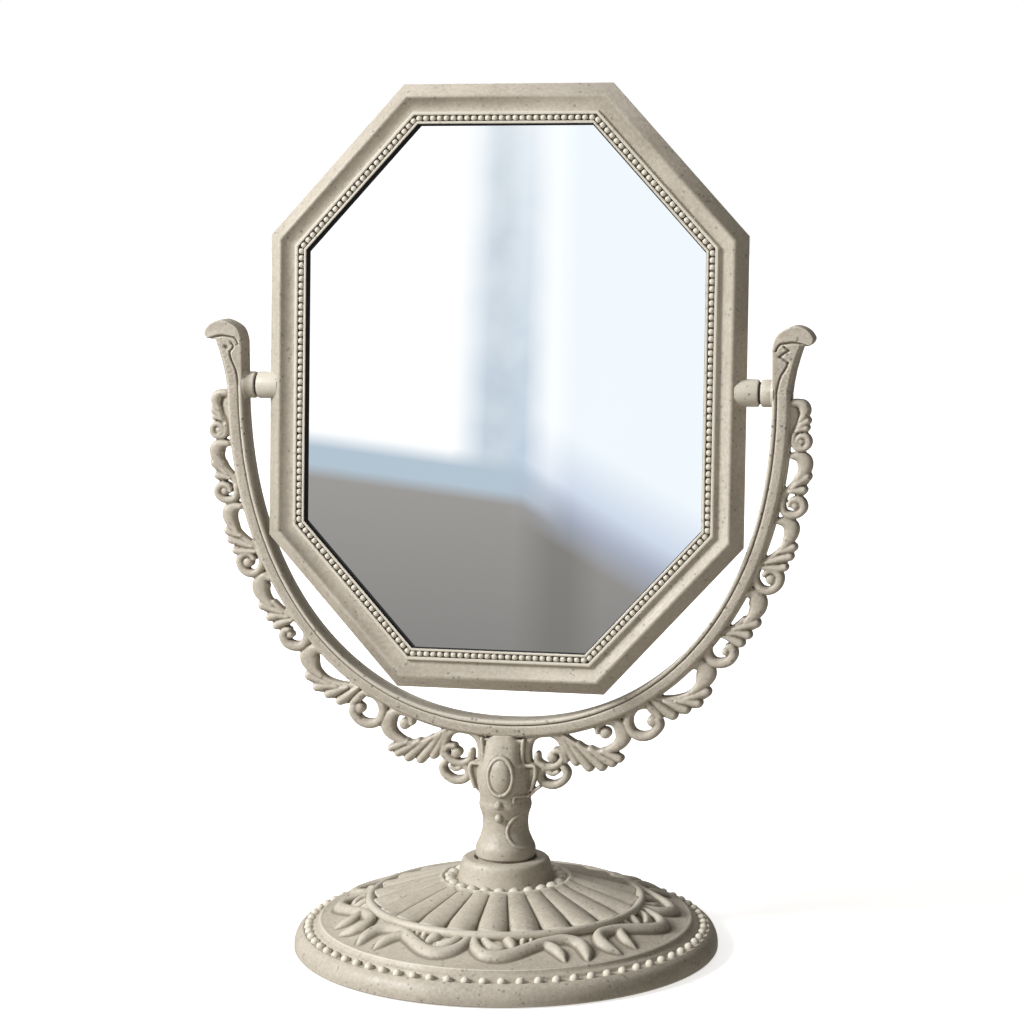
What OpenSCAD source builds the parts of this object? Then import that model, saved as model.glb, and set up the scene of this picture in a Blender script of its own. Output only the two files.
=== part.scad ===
// Tabletop swivel mirror. An octagonal two-sided mirror turns between the arms of an arched yoke
// that stands on a weighted round base. Origin: centre of the base on the table. +Z up, the
// front face looks along -Y. Millimetres.

/* [Base] */
// Outside diameter of the base
base_d = 140; // [110:1:180]
// Height of the collar's top above the table
base_h = 30.1; // [26:0.1:36]
// Outside diameter of the collar at its foot
collar_d = 31.4; // [28:0.2:38]
// Wall of the moulded base
shell_wall = 2.2; // [1.6:0.1:3]
// Beads round the rim
rim_beads = 72; // [48:4:96]
// Ribs round the raised middle, with one small bead each
gadroons = 24; // [16:4:32]

/* [Stem] */
// Length of the stem between the collar and the arch
stem_len = 40.5; // [36:0.5:56]
// Diameter of the stem's foot
stem_foot_d = 20; // [17:0.5:22]
// Screw thread diameter
screw_d = 4; // [3:0.5:5]

/* [Mirror] */
// Width of the octagonal frame
mirror_w = 158; // [126:1:200]
// Height of the octagonal frame
mirror_h = 195.6; // [156:0.2:240]
// Part of the half width taken by a cut corner
corner_x = 0.563; // [0.45:0.001:0.65]
// Part of the half height taken by a cut corner
corner_z = 0.496; // [0.4:0.001:0.6]
// Width of the moulding from outer edge to sight edge
frame_w = 13.2; // [11:0.2:17]
// Thickness of each glass
glass_t = 1.8; // [1.4:0.1:2]
// How far the mirror leans back as it stands
lean = 4.34; // [0:0.01:15]

/* [Yoke] */
// Gap between frame and arm at the pivots
side_gap = 8.5; // [7:0.1:12]
// Gap between frame and arch below the mirror
bottom_gap = 10.5; // [7:0.1:14]
// Radial width of the arch
arch_w = 5.8; // [5:0.1:8]
// Depth of the arch from front to back
arch_depth = 9; // [7:0.1:12]
// Height of the finials above the pivots
finial_rise = 21.4; // [16:0.2:28]
// Diameter of the pivot bosses
boss_d = 8.8; // [7:0.1:9]
// Diameter of the pivot pins
pin_d = 3; // [2:0.1:4]
// Thickness of the scroll borders
scroll_t = 4.6; // [3.6:0.1:6]

/* [Hidden] */
$fn = 64;
base_r = base_d / 2;
ring_k = base_r / 70;              // outer rings follow the base diameter
foot_lift = 0.5;                   // rim stands this far above the table
cover_t = 1.8;
collar_r = collar_d / 2;
stem_r = stem_foot_d / 2;
collar_hole_r = stem_r + 0.4;       // thin gap round the stem's foot
spigot_r = stem_r - 1.2;
spigot_z = 14;                     // the stem's spigot stands on the base here
boss_floor = 3;                    // plastic under the spigot
screw_r = screw_d / 2;
half_w = mirror_w / 2;
half_h = mirror_h / 2;
cut_x = half_w * corner_x;
cut_z = half_h * corner_z;
frame_half = 4.6;                  // half the mirror's depth
lip = 1.4;                         // plastic in front of the glass
card_t = 2 * (frame_half - 0.8 - lip - glass_t);
glass_front = frame_half - 0.8 - lip;
rebate_d = frame_w - 2.3;          // rebate the glass lies in
glass_d = rebate_d + 0.2;
arch_b = half_h + bottom_gap;      // arch's inner depth below the pivots
inner_n = 2.2;                     // fullness of the arch's inner curve
corner_air = 1;                    // least space beside the frame's lower corners
corner_share = pow(1 - pow(cut_z / arch_b, inner_n), 1 / inner_n);
arm_x = max(half_w + side_gap, (half_w + corner_air) / corner_share); // arm's inner side
arm_air = arm_x - half_w;
outer_n = 2.15;                    // fullness of its outer curve
arch_foot = base_h + stem_len;     // underside of the arch on the centre line
pivot_z = arch_foot + arch_w + arch_b - 0.2;
arch_bottom = pivot_z - arch_b - arch_w;
boss_r = boss_d / 2;
pin_r = pin_d / 2;
pin_fit = 0.05;
pivot_gap = 0.8;
barrel_in = half_w - 3.4;          // frame boss starts inside the moulding
barrel_out = half_w + arm_air * 0.47;
socket_in = barrel_out + pivot_gap;
arm_seat = 4.5;                    // depth of the boss spigot in the arm
spigot_boss_r = 2.6;
screws = 4;
screw_ring = base_r - 10;
pad_ring = base_r - 17;
pad_r = 6;
plastic = [0.80, 0.77, 0.70];
steel = [0.62, 0.63, 0.65];
dark = [0.16, 0.15, 0.14];

// ---- curves ----

// Point on a full ellipse: half sizes a and b, fullness n, angle t.
function full(a, b, n, t) = [a * sign(cos(t)) * pow(abs(cos(t)), 2 / n),
  b * sign(sin(t)) * pow(abs(sin(t)), 2 / n)];
function arc_at(r, c, a) = [c[0] + r * cos(a), c[1] + r * sin(a)];
function arc(r, c, a0, a1, k) = [for (i = [0 : k]) arc_at(r, c, a0 + (a1 - a0) * i / k)];

// Smooth line through [x, z, half width] points, k steps between neighbours.
function blend(a, b, c, d, t) = 0.5 * (2 * b + (c - a) * t + (2 * a - 5 * b + 4 * c - d) * t * t
  + (3 * b - a - 3 * c + d) * t * t * t);
function smooth(p, k) = concat([for (i = [0 : len(p) - 2]) for (j = [0 : k - 1])
  blend(p[max(i - 1, 0)], p[i], p[i + 1], p[min(i + 2, len(p) - 1)], j / k)], [p[len(p) - 1]]);
function side(q, i, s) = let (a = q[max(i - 1, 0)], b = q[min(i + 1, len(q) - 1)],
  l = norm([b[0] - a[0], b[1] - a[1]]))
  [q[i][0] - s * (b[1] - a[1]) / l * q[i][2], q[i][1] + s * (b[0] - a[0]) / l * q[i][2]];

// Ribbon with rounded ends along such a line, set up as a plate.
function heading(q, i) = let (a = q[max(i - 1, 0)], b = q[min(i + 1, len(q) - 1)])
  atan2(b[1] - a[1], b[0] - a[0]);
function cap(q, i, a0) = [for (j = [1 : 4]) arc_at(q[i][2], q[i], a0 - 180 * j / 5)];
module stroke(p, k = 4) {
  q = smooth(p, k);
  n = len(q) - 1;
  plate() polygon(concat([for (i = [0 : n]) side(q, i, 1)], cap(q, n, heading(q, n) + 90),
    [for (i = [n : -1 : 0]) side(q, i, -1)], cap(q, 0, heading(q, 0) - 90)));
}
module plate() upright(-scroll_t / 2 - 0.6, scroll_t / 2 - 0.6) children();
module ball(c, r) plate() translate([c[0], c[1]]) circle(r = r, $fn = 24);

// Corners of the octagon, d inside its outer edge, anticlockwise from the right side.
function octagon(d) = let (l = norm([cut_x, cut_z]), nx = cut_z / l, nz = cut_x / l,
  c = nx * half_w + nz * (half_h - cut_z) - d,
  q = (c - nx * (half_w - d)) / nz, t = (c - nz * (half_h - d)) / nx)
  [[half_w - d, -q], [half_w - d, q], [t, half_h - d], [-t, half_h - d], [-(half_w - d), q],
   [-(half_w - d), -q], [-t, -(half_h - d)], [t, -(half_h - d)]];

// Places the flat mirror (face up along +Z) in the yoke.
module in_yoke() translate([0, 0, pivot_z]) rotate([90 - lean, 0, 0]) children();
// Places a front-view outline in the XZ plane, from y0 (front) to y1 (back).
module upright(y0, y1) translate([0, y1, 0]) rotate([90, 0, 0]) linear_extrude(y1 - y0) children();
// Sets a shape drawn along +Z at the pivot line, pointing to the right from x.
module on_pivot(x) translate([x, 0, pivot_z]) rotate([0, 90, 0]) children();
module left() mirror([1, 0, 0]) children();

// ---- base ----

function ring(r, z) = [r * ring_k, z];
raised_in = collar_r + 5.6;        // inner end of the gadroons
raised_out = 43.0 * ring_k;
raised_low = 17.4;
raised_high = 23.6;
slope = atan2(raised_high - raised_low, raised_out - raised_in);

module base_shell() color(plastic) difference() {
  union() {
    rotate_extrude($fn = 96) polygon(concat(
      [[base_r, foot_lift], [base_r, 2.8], ring(69.4, 4.8), ring(68.4, 6.3), ring(66.8, 7.2),
       ring(66.2, 7.5), ring(64.2, 7.5), ring(63.2, 8.0), ring(61.6, 9.0), ring(61.0, 10.0),
       ring(58.0, 10.7), ring(46.4, 14.2)],
      arc(1.4, ring(44.7, 15.8), -40, 150, 8),
      [[raised_out, raised_low - 0.6], [raised_out - 0.8, raised_low],
       [raised_in, raised_high], [raised_in - 0.7, 22.4], [collar_r + 0.4, 22.4],
       [collar_r, 23.3], [collar_r - 0.9, base_h - 2], [collar_r - 1.5, base_h - 0.5],
       [collar_r - 2.4, base_h], [collar_hole_r + 0.4, base_h], [collar_hole_r, base_h - 0.4],
       [collar_hole_r, base_h - 3], [spigot_r + 0.05, base_h - 3],
       [spigot_r + 0.05, spigot_z], [screw_r + 0.2, spigot_z], [screw_r + 0.2, spigot_z - boss_floor],
       [spigot_r + 1.6, spigot_z - boss_floor], [spigot_r + 2.2, 20.8 - shell_wall],
       [raised_in, 22.0 - shell_wall], ring(43.0, 16.4 - shell_wall), ring(46.4, 14.2 - shell_wall),
       ring(58.0, 10.6 - shell_wall), ring(62.2, 7.4 - shell_wall), [base_r - 3.8, 4.6],
       [base_r - 2.4, foot_lift + cover_t], [base_r - 1.6, foot_lift + cover_t],
       [base_r - 1.6, foot_lift]]));
    for (i = [0 : rim_beads - 1]) rotate([0, 0, (i + 0.5) * 360 / rim_beads])
      translate([65.2 * ring_k, 0, 7.3]) sphere(r = 1.45 * ring_k, $fn = 24);
    for (i = [0 : gadroons - 1]) rotate([0, 0, (i + 0.5) * 360 / gadroons])
      translate([collar_r + 2.9, 0, 22.3]) sphere(r = 1.9, $fn = 24);
    for (i = [0 : screws - 1]) rotate([0, 0, 45 + i * 90]) translate([screw_ring, 0, foot_lift + cover_t])
      cylinder(r = 3, h = 10.0 - shell_wall - foot_lift - cover_t);
  }
  for (i = [0 : gadroons - 1]) rotate([0, 0, i * 360 / gadroons])
    translate([raised_out, 0, raised_low + 0.5]) rotate([0, slope, 0]) rotate([45, 0, 0])
      translate([-norm([raised_out - raised_in, raised_high - raised_low]) - 0.5, -0.9, -0.9])
        cube([norm([raised_out - raised_in, raised_high - raised_low]) - 0.5, 1.8, 1.8]);
  for (i = [0 : screws - 1]) rotate([0, 0, 45 + i * 90]) translate([screw_ring, 0, 0])
    cylinder(r = 1.2, h = 7.0);
}

weight_r = base_r - 16;
module base_weight() color(dark) difference() {
  translate([0, 0, foot_lift + cover_t]) cylinder(r = weight_r, h = 6);
  translate([0, 0, 0]) cylinder(r = spigot_r + 3.4, h = 20);
}

module base_cover() color(plastic * 0.8) difference() {
  translate([0, 0, foot_lift]) cylinder(r = base_r - 1.8, h = cover_t, $fn = 96);
  translate([0, 0, -1]) cylinder(r = 6, h = 6);
  for (i = [0 : screws - 1]) rotate([0, 0, 45 + i * 90]) translate([screw_ring, 0, 0]) {
    cylinder(r = 1.6, h = 5);
    translate([0, 0, foot_lift - 0.01]) cylinder(r1 = 2.9, r2 = 1.6, h = 1.3);
  }
  for (i = [0 : screws - 1]) rotate([0, 0, i * 90]) translate([pad_ring, 0, 0])
    cylinder(r = pad_r + 0.2, h = foot_lift + 0.4);
}

module cover_screws() color(steel) for (i = [0 : screws - 1]) rotate([0, 0, 45 + i * 90])
  translate([screw_ring, 0, 0]) difference() {
    union() {
      translate([0, 0, foot_lift]) cylinder(r1 = 2.7, r2 = 1.5, h = 1.25);
      translate([0, 0, foot_lift + 0.5]) cylinder(r = 1.2, h = 6);
    }
    for (a = [0, 90]) rotate([0, 0, a]) translate([-1.5, -0.3, 0]) cube([3, 0.6, foot_lift + 0.7]);
  }

module foot_pads() color(dark) for (i = [0 : screws - 1]) rotate([0, 0, i * 90])
  translate([pad_ring, 0, 0]) cylinder(r = pad_r, h = foot_lift + 0.4);

head_z = spigot_z - boss_floor - 1;
module stem_screw() color(steel) difference() {
  union() {
    translate([0, 0, head_z - 2.6]) cylinder(r = screw_r * 1.9, h = 2.6);
    translate([0, 0, head_z - 0.5]) cylinder(r = screw_r, h = base_h - head_z);
  }
  for (a = [0, 90]) rotate([0, 0, a]) translate([-2.4, -0.5, 0]) cube([4.8, 1, head_z - 1]);
}

module stem_washer() color(steel) translate([0, 0, head_z]) difference() {
  cylinder(r = spigot_r - 2, h = 1);
  translate([0, 0, -1]) cylinder(r = screw_r + 0.2, h = 3);
}

// ---- stem ----

tenon = [6.4, 5, 3];               // tongue of the stem in the arch
seat = 0.4;                        // flat let into the arch's underside
neck_r = stem_r * 0.774;

module stem() color(plastic) difference() {
  union() {
    rotate_extrude($fn = 64) polygon([[0, spigot_z], [spigot_r, spigot_z], [spigot_r, base_h - 3],
      [stem_r, base_h - 3], [stem_r, base_h + 1], [stem_r * 0.97, base_h + 2.4],
      [stem_r * 0.99, base_h + 3.8], [stem_r * 0.956, base_h + 5.1], [stem_r * 0.874, base_h + 6.5],
      [stem_r * 0.79, base_h + 7.8], [neck_r, base_h + 9], [neck_r, base_h + 13],
      [stem_r * 0.79, base_h + 14.6], [stem_r * 0.87, base_h + 15.9], [stem_r * 0.89, base_h + 17.3],
      [stem_r * 0.856, base_h + 18.6], [stem_r * 0.87, base_h + 20], [stem_r * 0.93, base_h + 21.5],
      [stem_r * 0.93, base_h + 22.5], [0, base_h + 22.5]]);
    intersection() {
      upright(-7.4, 7.4) polygon(concat(
        [for (s = [1, -1]) for (p = s > 0 ? shield_side() : [for (i = [len(shield_side()) - 1 : -1 : 0])
          shield_side()[i]]) [s * p[0], p[1]]]));
      translate([0, 0, base_h + 18]) cylinder(r = stem_r * 1.14, h = arch_foot - base_h);
    }
    translate([-tenon[0] / 2, -tenon[1] / 2, arch_foot - 2]) cube([tenon[0], tenon[1], tenon[2] + 2]);
    upright(-8.4, -6.4) translate([0, shield_z]) difference() {
      scale_oval(5.0, 7.2);
      scale_oval(4.1, 6.3);
    }
    upright(-8.6, -6.4) translate([0, shield_z]) scale_oval(3.5, 5.7);
  }
  translate([0, 0, spigot_z - 1]) cylinder(r = screw_r, h = base_h - spigot_z + 2);
}

shield_z = base_h + stem_len * 0.655;
function shield_side() = [[stem_r * 0.93, base_h + 20.5], [stem_r * 0.96, base_h + 24],
  [stem_r * 1.0, base_h + stem_len * 0.66], [stem_r * 1.1, base_h + stem_len * 0.755],
  [stem_r * 1.04, base_h + stem_len * 0.775], [stem_r * 0.84, base_h + stem_len * 0.79],
  [stem_r * 0.75, base_h + stem_len * 0.87], [stem_r * 0.78, base_h + stem_len * 0.94],
  [stem_r * 0.52, base_h + stem_len * 0.955], [stem_r * 0.5, arch_foot]];
module scale_oval(a, b) polygon([for (i = [0 : 31]) [a * cos(i * 11.25), b * sin(i * 11.25)]]);

// ---- yoke ----

// Band that follows the arch below the pivots, between e0 and e1 outside the inner curve.
module arch_band(e0, e1) {
  n0 = inner_n + (outer_n - inner_n) * e0 / arch_w;
  n1 = inner_n + (outer_n - inner_n) * e1 / arch_w;
  translate([0, pivot_z]) polygon(concat(
    [for (i = [0 : 96]) full(arm_x + e0, arch_b + e0, n0, -180 + i * 180 / 96)],
    [for (i = [96 : -1 : 0]) full(arm_x + e1, arch_b + e1, n1, -180 + i * 180 / 96)]));
}

// Arm above the pivots with its curled head, right side.
module finial() translate([arm_x, pivot_z]) {
  rise = finial_rise / 21.4;
  wide = arch_w / 5.8;
  polygon(concat([[0, -0.02], [0, 14.6 * rise]],
    [for (p = smooth([[0, 14.6 * rise, 0], [1.6 * wide, 18.8 * rise, 0], [6.6 * wide, finial_rise, 0],
      [10.6 * wide, 20.4 * rise, 0], [12.9 * wide, 17.6 * rise, 0], [11.8 * wide, 15.4 * rise, 0],
      [9.4 * wide, 15.2 * rise, 0]], 4)) [p[0], p[1]]],
    [[8.2 * wide, 11.5 * rise], [7.0 * wide, 7.2 * rise], [6.2 * wide, 3 * rise], [arch_w, -0.02]]));
}

module arm_bore() translate([arm_x, 0, pivot_z]) rotate([0, 90, 0]) translate([0, 0, -1])
  cylinder(r = spigot_boss_r, h = arm_seat + 1);

module yoke_arch() color(plastic) {
  front = -arch_depth / 2;
  difference() {
    union() {
      upright(front + 1.2, arch_depth / 2) arch_band(0, arch_w);
      upright(front, front + 2) arch_band(0.8, 2.4);
      upright(front + 0.4, front + 2) arch_band(3, arch_w - 0.2);
      for (s = [0, 1]) mirror([s, 0, 0]) upright(front + 0.2, arch_depth / 2) finial();
    }
    arm_bore();
    left() arm_bore();
    translate([-stem_r * 0.55, -8, arch_bottom - 2]) cube([stem_r * 1.1, 16, arch_foot - arch_bottom + 2]);
    translate([-tenon[0] / 2 - 0.05, -tenon[1] / 2 - 0.05, arch_bottom - 1])
      cube([tenon[0] + 0.1, tenon[1] + 0.1, arch_foot - arch_bottom + 1 + tenon[2] + 0.1]);
  }
}

// ---- scroll borders ----

// Outer curve of the arch: point and outward direction at an angle below the pivot line.
function outer(t) = full(arm_x + arch_w, arch_b + arch_w, outer_n, -t);
function outward(t) = let (a = outer(t - 0.5), b = outer(t + 0.5), l = norm(b - a))
  [-(b[1] - a[1]) / l, (b[0] - a[0]) / l];
function off_arch(t, d) = let (p = outer(t), o = outward(t)) [p[0] + o[0] * d, p[1] + o[1] * d];

// Open spiral with a ball in its middle. It starts at angle a0 and winds inwards.
module volute(c, r, a0, turn) {
  k = 20;
  w = 0.17 * r;
  stroke([for (i = [0 : k]) let (f = i / k, rr = r - w - f * f * 0.5 * r)
    [c[0] + rr * cos(a0 + turn * f), c[1] + rr * sin(a0 + turn * f), w * (1.15 - 0.25 * f)]], 1);
  e = r - w - 0.5 * r;
  ball(arc_at(e, c, a0 + turn), 0.24 * r);
}

// One repeat of the border: a hooked head at t0, leaf fingers, and a volute at t1.
module unit(t0, t1, r, fingers) {
  head = off_arch(t0, 3.6);
  eye = off_arch(t1, r - 0.4);
  u = eye - head;
  l = norm(u);
  e = u / l;
  v = [-e[1], e[0]];
  function at(a, b) = [head[0] + e[0] * a * l + v[0] * b * l, head[1] + e[1] * a * l + v[1] * b * l];
  root = off_arch(t0 + (t1 - t0) * 0.7, 0.4);
  start = off_arch(t0 - (t1 - t0) * 0.05, 0);
  hook = at(-0.04, 0.02);
  back = at(0.14, 0.13);
  mid = at(0.42, 0.1);
  w = 0.085 * l + 0.35;
  stroke([[start[0], start[1], w * 0.8], [hook[0], hook[1], w], [back[0], back[1], w * 1.1],
    [mid[0], mid[1], w], [root[0], root[1], w * 0.7]], 4);
  for (i = [1 : fingers]) {
    f = i / (fingers + 0.6);
    tip = at(0.26 + 0.5 * f, 0.235 + 0.05 * sin(180 * f));
    bend = at(0.42 + 0.4 * f, 0.13);
    stroke([[root[0], root[1], w * 0.5], [bend[0], bend[1], w * 0.6], [tip[0], tip[1], w * 0.62]], 3);
  }
  a0 = atan2(root[1] - eye[1], root[0] - eye[0]);
  volute(eye, r, a0, -400);
}

// Scrolls on the right of the stem: a curled leaf under the arch and a looped ribbon with two curls.
module stem_scrolls() {
  function pt(x, z, w) = [x + 0.3, arch_bottom - 0.9 + z, w];
  stroke([pt(31.5, 2.6, 1.0), pt(32.4, 5.4, 1.1), pt(35.4, 6.6, 1.2), pt(38.7, 4.9, 1.7),
    pt(39.9, 0.6, 2.1), pt(36.8, -4.2, 2.0), pt(31, -5.8, 1.6), pt(25.6, -4.2, 1.5),
    pt(22, -1.0, 1.5), pt(19.6, 1.8, 1.4)]);
  ball(pt(33.4, 1.9, 0), 2.3);
  for (i = [0 : 4]) {
    r = arc_at(5.4, [29.5, 1.4], -160 + 25 * i);
    t = arc_at(11.4, [29.5, 1.4], -113 + 22 * i);
    stroke([pt(r[0], r[1], 0.9), pt((r[0] + t[0]) / 2 - 0.5, (r[1] + t[1]) / 2 - 0.4, 1.3),
      pt(t[0], t[1], 1.4)], 3);
  }
  stroke([pt(19.9, -5.2, 0.9), pt(20.3, -2.2, 1.1), pt(18.4, 0.2, 1.3), pt(14.4, 1.0, 1.4),
    pt(10.6, -0.2, 1.4), pt(9.1, -3.6, 1.2), pt(9.0, -7, 1.1), pt(9.2, -8.6, 1.1)]);
  volute(pt(15.6, -7.0, 0), 4.3, -100, 400);
  volute(pt(16.4, -12.3, 0), 5.2, 170, 400);
  stroke([pt(8.6, -12.4, 1.0), pt(10.4, -12.8, 1.1), pt(12.2, -12.4, 1.1)]);
}

// Thin web that joins the repeats along the arch.
module web() plate() polygon(concat([for (t = [1 : 3 : 85]) off_arch(t, -0.5)],
  [for (t = [85 : -3 : 1]) off_arch(t, 0.45)]));

module scroll_border() color(plastic) {
  translate([0, 0, pivot_z]) {
    web();
    unit(1.2, 6.6, 3.2, 1);
    unit(8.5, 16.2, 4.6, 2);
    unit(18.8, 28.8, 5.1, 3);
    unit(32.2, 43.9, 5.7, 3);
    unit(48.6, 63.4, 6.3, 4);
  }
  stem_scrolls();
}
module right_scroll_border() scroll_border();
module left_scroll_border() left() scroll_border();

// ---- pivots ----

module pivot_socket() color(plastic) difference() {
  union() {
    on_pivot(socket_in) cylinder(r = boss_r, h = arm_x - socket_in);
    on_pivot(arm_x - 0.5) cylinder(r = spigot_boss_r, h = arm_seat + 0.5);
  }
  on_pivot(socket_in - 1) cylinder(r = pin_r, h = arm_x + arm_seat - socket_in);
}
module pivot_pin() color(steel) on_pivot(barrel_in + 2.6)
  cylinder(r = pin_r, h = arm_x + arm_seat - 1 - barrel_in - 2.6);
module friction_washer() color(dark) on_pivot(barrel_out + 0.05) difference() {
  cylinder(r = boss_r - 0.9, h = pivot_gap - 0.1);
  translate([0, 0, -1]) cylinder(r = pin_r + 0.05, h = 3);
}
module pivot_barrel() color(plastic) translate([0, 0, pivot_z]) rotate([-lean, 0, 0])
  translate([0, 0, -pivot_z]) difference() {
    on_pivot(barrel_in) cylinder(r = boss_r, h = barrel_out - barrel_in);
    on_pivot(barrel_in + 2) cylinder(r = pin_r + pin_fit, h = barrel_out - barrel_in);
  }
module right_pivot_socket() pivot_socket();
module left_pivot_socket() left() pivot_socket();
module right_pivot_pin() pivot_pin();
module left_pivot_pin() left() pivot_pin();
module right_friction_washer() friction_washer();
module left_friction_washer() left() friction_washer();
module right_pivot_barrel() pivot_barrel();
module left_pivot_barrel() left() pivot_barrel();

// ---- mirror ----

// Section of the moulding: distance in from the outer edge, height above the middle plane.
bead_in = frame_w - 2.9;           // groove of the bead row
groove_h = glass_front + 0.6;
function moulding() = concat([[0, 0], [3.8, 4.2]], arc(0.6, [4.5, 4.0], 135, 60, 4),
  [[5.5, 4.3], [6.4, 3.6], [7.6, 3.15], [bead_in - 1.1, 3.0], [bead_in - 1.1, 3.9], [bead_in, 3.9],
   [bead_in, groove_h]],
  arc(0.85, [bead_in + 0.95, groove_h], 180, 0, 8),
  [[frame_w - 1, groove_h], [frame_w - 1, 3.8], [frame_w, 3.8], [frame_w, glass_front],
   [rebate_d, glass_front], [rebate_d, 0]]);

// The moulding run round the octagon as one closed ring with mitred corners.
module moulded_ring(p) {
  n = len(p);
  function at(j, i) = (j % n) * 8 + i % 8;
  polyhedron([for (q = p) for (c = octagon(q[0])) [c[0], c[1], q[1]]],
    [for (j = [0 : n - 1]) for (i = [0 : 7]) [at(j, i), at(j + 1, i), at(j + 1, i + 1), at(j, i + 1)]]);
}

module half_frame() color(plastic) difference() {
  moulded_ring(moulding());
  for (s = [0, 1]) mirror([s, 0, 0]) translate([barrel_in, 0, 0]) rotate([0, 90, 0])
    cylinder(r = boss_r, h = 10);
}
module pane(z) translate([0, 0, z]) linear_extrude(glass_t) polygon(octagon(glass_d));

module front_frame() in_yoke() half_frame();
module rear_frame() in_yoke() mirror([0, 0, 1]) half_frame();
module front_glass() color([0.75, 0.8, 0.85]) in_yoke() pane(glass_front - glass_t);
module rear_glass() color([0.75, 0.8, 0.85]) in_yoke() pane(-glass_front);
module backing_card() color([0.5, 0.42, 0.32]) in_yoke() translate([0, 0, -card_t / 2])
  linear_extrude(card_t) polygon(octagon(glass_d));

base_shell();
base_weight();
base_cover();
cover_screws();
foot_pads();
stem_screw();
stem_washer();
stem();
yoke_arch();
left_scroll_border();
right_scroll_border();
left_pivot_socket();
right_pivot_socket();
left_pivot_pin();
right_pivot_pin();
left_friction_washer();
right_friction_washer();
left_pivot_barrel();
right_pivot_barrel();
front_frame();
rear_frame();
front_glass();
rear_glass();
backing_card();
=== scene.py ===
"""Tabletop swivel mirror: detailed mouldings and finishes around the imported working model."""

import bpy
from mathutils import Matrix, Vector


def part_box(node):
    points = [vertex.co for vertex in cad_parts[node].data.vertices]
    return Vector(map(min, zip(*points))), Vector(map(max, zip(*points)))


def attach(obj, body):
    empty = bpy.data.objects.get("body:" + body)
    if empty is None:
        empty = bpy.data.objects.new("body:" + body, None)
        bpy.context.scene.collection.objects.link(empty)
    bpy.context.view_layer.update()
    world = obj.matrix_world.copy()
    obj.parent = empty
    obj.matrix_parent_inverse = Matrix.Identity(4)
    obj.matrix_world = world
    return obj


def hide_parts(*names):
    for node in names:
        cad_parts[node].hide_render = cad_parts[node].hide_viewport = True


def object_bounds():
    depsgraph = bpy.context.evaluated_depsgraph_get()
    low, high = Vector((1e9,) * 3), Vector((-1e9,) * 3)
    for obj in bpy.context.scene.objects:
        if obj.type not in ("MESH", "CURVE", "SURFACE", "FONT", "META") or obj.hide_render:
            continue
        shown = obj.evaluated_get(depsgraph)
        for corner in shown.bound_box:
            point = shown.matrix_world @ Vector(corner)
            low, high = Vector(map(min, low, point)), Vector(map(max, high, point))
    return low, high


bl_info = {
    "name": "Tabletop Swivel Mirror",
    "version": (1, 0, 0),
    "blender": (4, 5, 0),
    "location": "3D Viewport > Sidebar > Swivel Mirror",
    "description": "Builds the mouldings, scrollwork and finishes of a two-sided tabletop mirror",
    "category": "Object",
}

import math

import bpy
import numpy as np
from bpy.props import (
    FloatProperty,
    FloatVectorProperty,
    IntProperty,
    PointerProperty,
)
from mathutils import Matrix, Vector

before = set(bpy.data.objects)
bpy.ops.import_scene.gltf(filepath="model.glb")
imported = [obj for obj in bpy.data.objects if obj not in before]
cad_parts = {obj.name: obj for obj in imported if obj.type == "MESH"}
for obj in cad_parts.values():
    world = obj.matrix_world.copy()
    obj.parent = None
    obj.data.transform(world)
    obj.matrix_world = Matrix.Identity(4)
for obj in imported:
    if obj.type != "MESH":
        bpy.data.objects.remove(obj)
CAD_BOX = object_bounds()

MM = 0.001
FULL_TURN = 2 * math.pi
STAND = "stand"
SWING = "mirror"

# Places taken from the working model, in millimetres.
PIVOT_Z = sum(c.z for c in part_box("left_pivot_pin")) / 2 / MM
BASE_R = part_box("base_shell")[1].x / MM
COLLAR_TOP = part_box("base_shell")[1].z / MM
HALF_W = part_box("front_frame")[1].x / MM

# Sizes of the working model that no box gives, in millimetres.
LEAN = math.radians(4.34)
HALF_H = 97.8
CUT_X, CUT_Z = HALF_W * 0.563, HALF_H * 0.496
SIDE_GAP, BOTTOM_GAP = 8.5, 10.5
ARM_X = HALF_W + SIDE_GAP
ARCH_B = HALF_H + BOTTOM_GAP
ARCH_W = 5.8
INNER_N, OUTER_N = 2.2, 2.15  # powers of the arch's rounded inner and outer lines
BASE_SCALE = BASE_R / 70  # the outlines of the base are drawn for a radius of 70


# ---- selection and mesh helpers ----


def clear_selection():
    if bpy.context.mode != "OBJECT":
        bpy.ops.object.mode_set(mode="OBJECT")
    bpy.ops.object.select_all(action="DESELECT")


def pick(obj):
    clear_selection()
    obj.select_set(True)
    bpy.context.view_layer.objects.active = obj
    return obj


def start_edit(obj, action="SELECT"):
    pick(obj)
    bpy.ops.object.mode_set(mode="EDIT")
    bpy.ops.mesh.select_mode(type="VERT")
    bpy.ops.mesh.select_all(action=action)


def end_edit():
    bpy.ops.object.mode_set(mode="OBJECT")


def new_object(name, verts, edges=(), faces=()):
    mesh = bpy.data.meshes.new(name)
    mesh.from_pydata([tuple(map(float, v)) for v in verts], list(edges), list(faces))
    mesh.update()
    obj = bpy.data.objects.new(name, mesh)
    bpy.context.scene.collection.objects.link(obj)
    return obj


def read_points(obj):
    co = np.empty(len(obj.data.vertices) * 3)
    obj.data.vertices.foreach_get("co", co)
    return co.reshape(-1, 3)


def write_points(obj, co):
    obj.data.vertices.foreach_set("co", np.asarray(co, float).ravel())
    obj.data.update()


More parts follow.
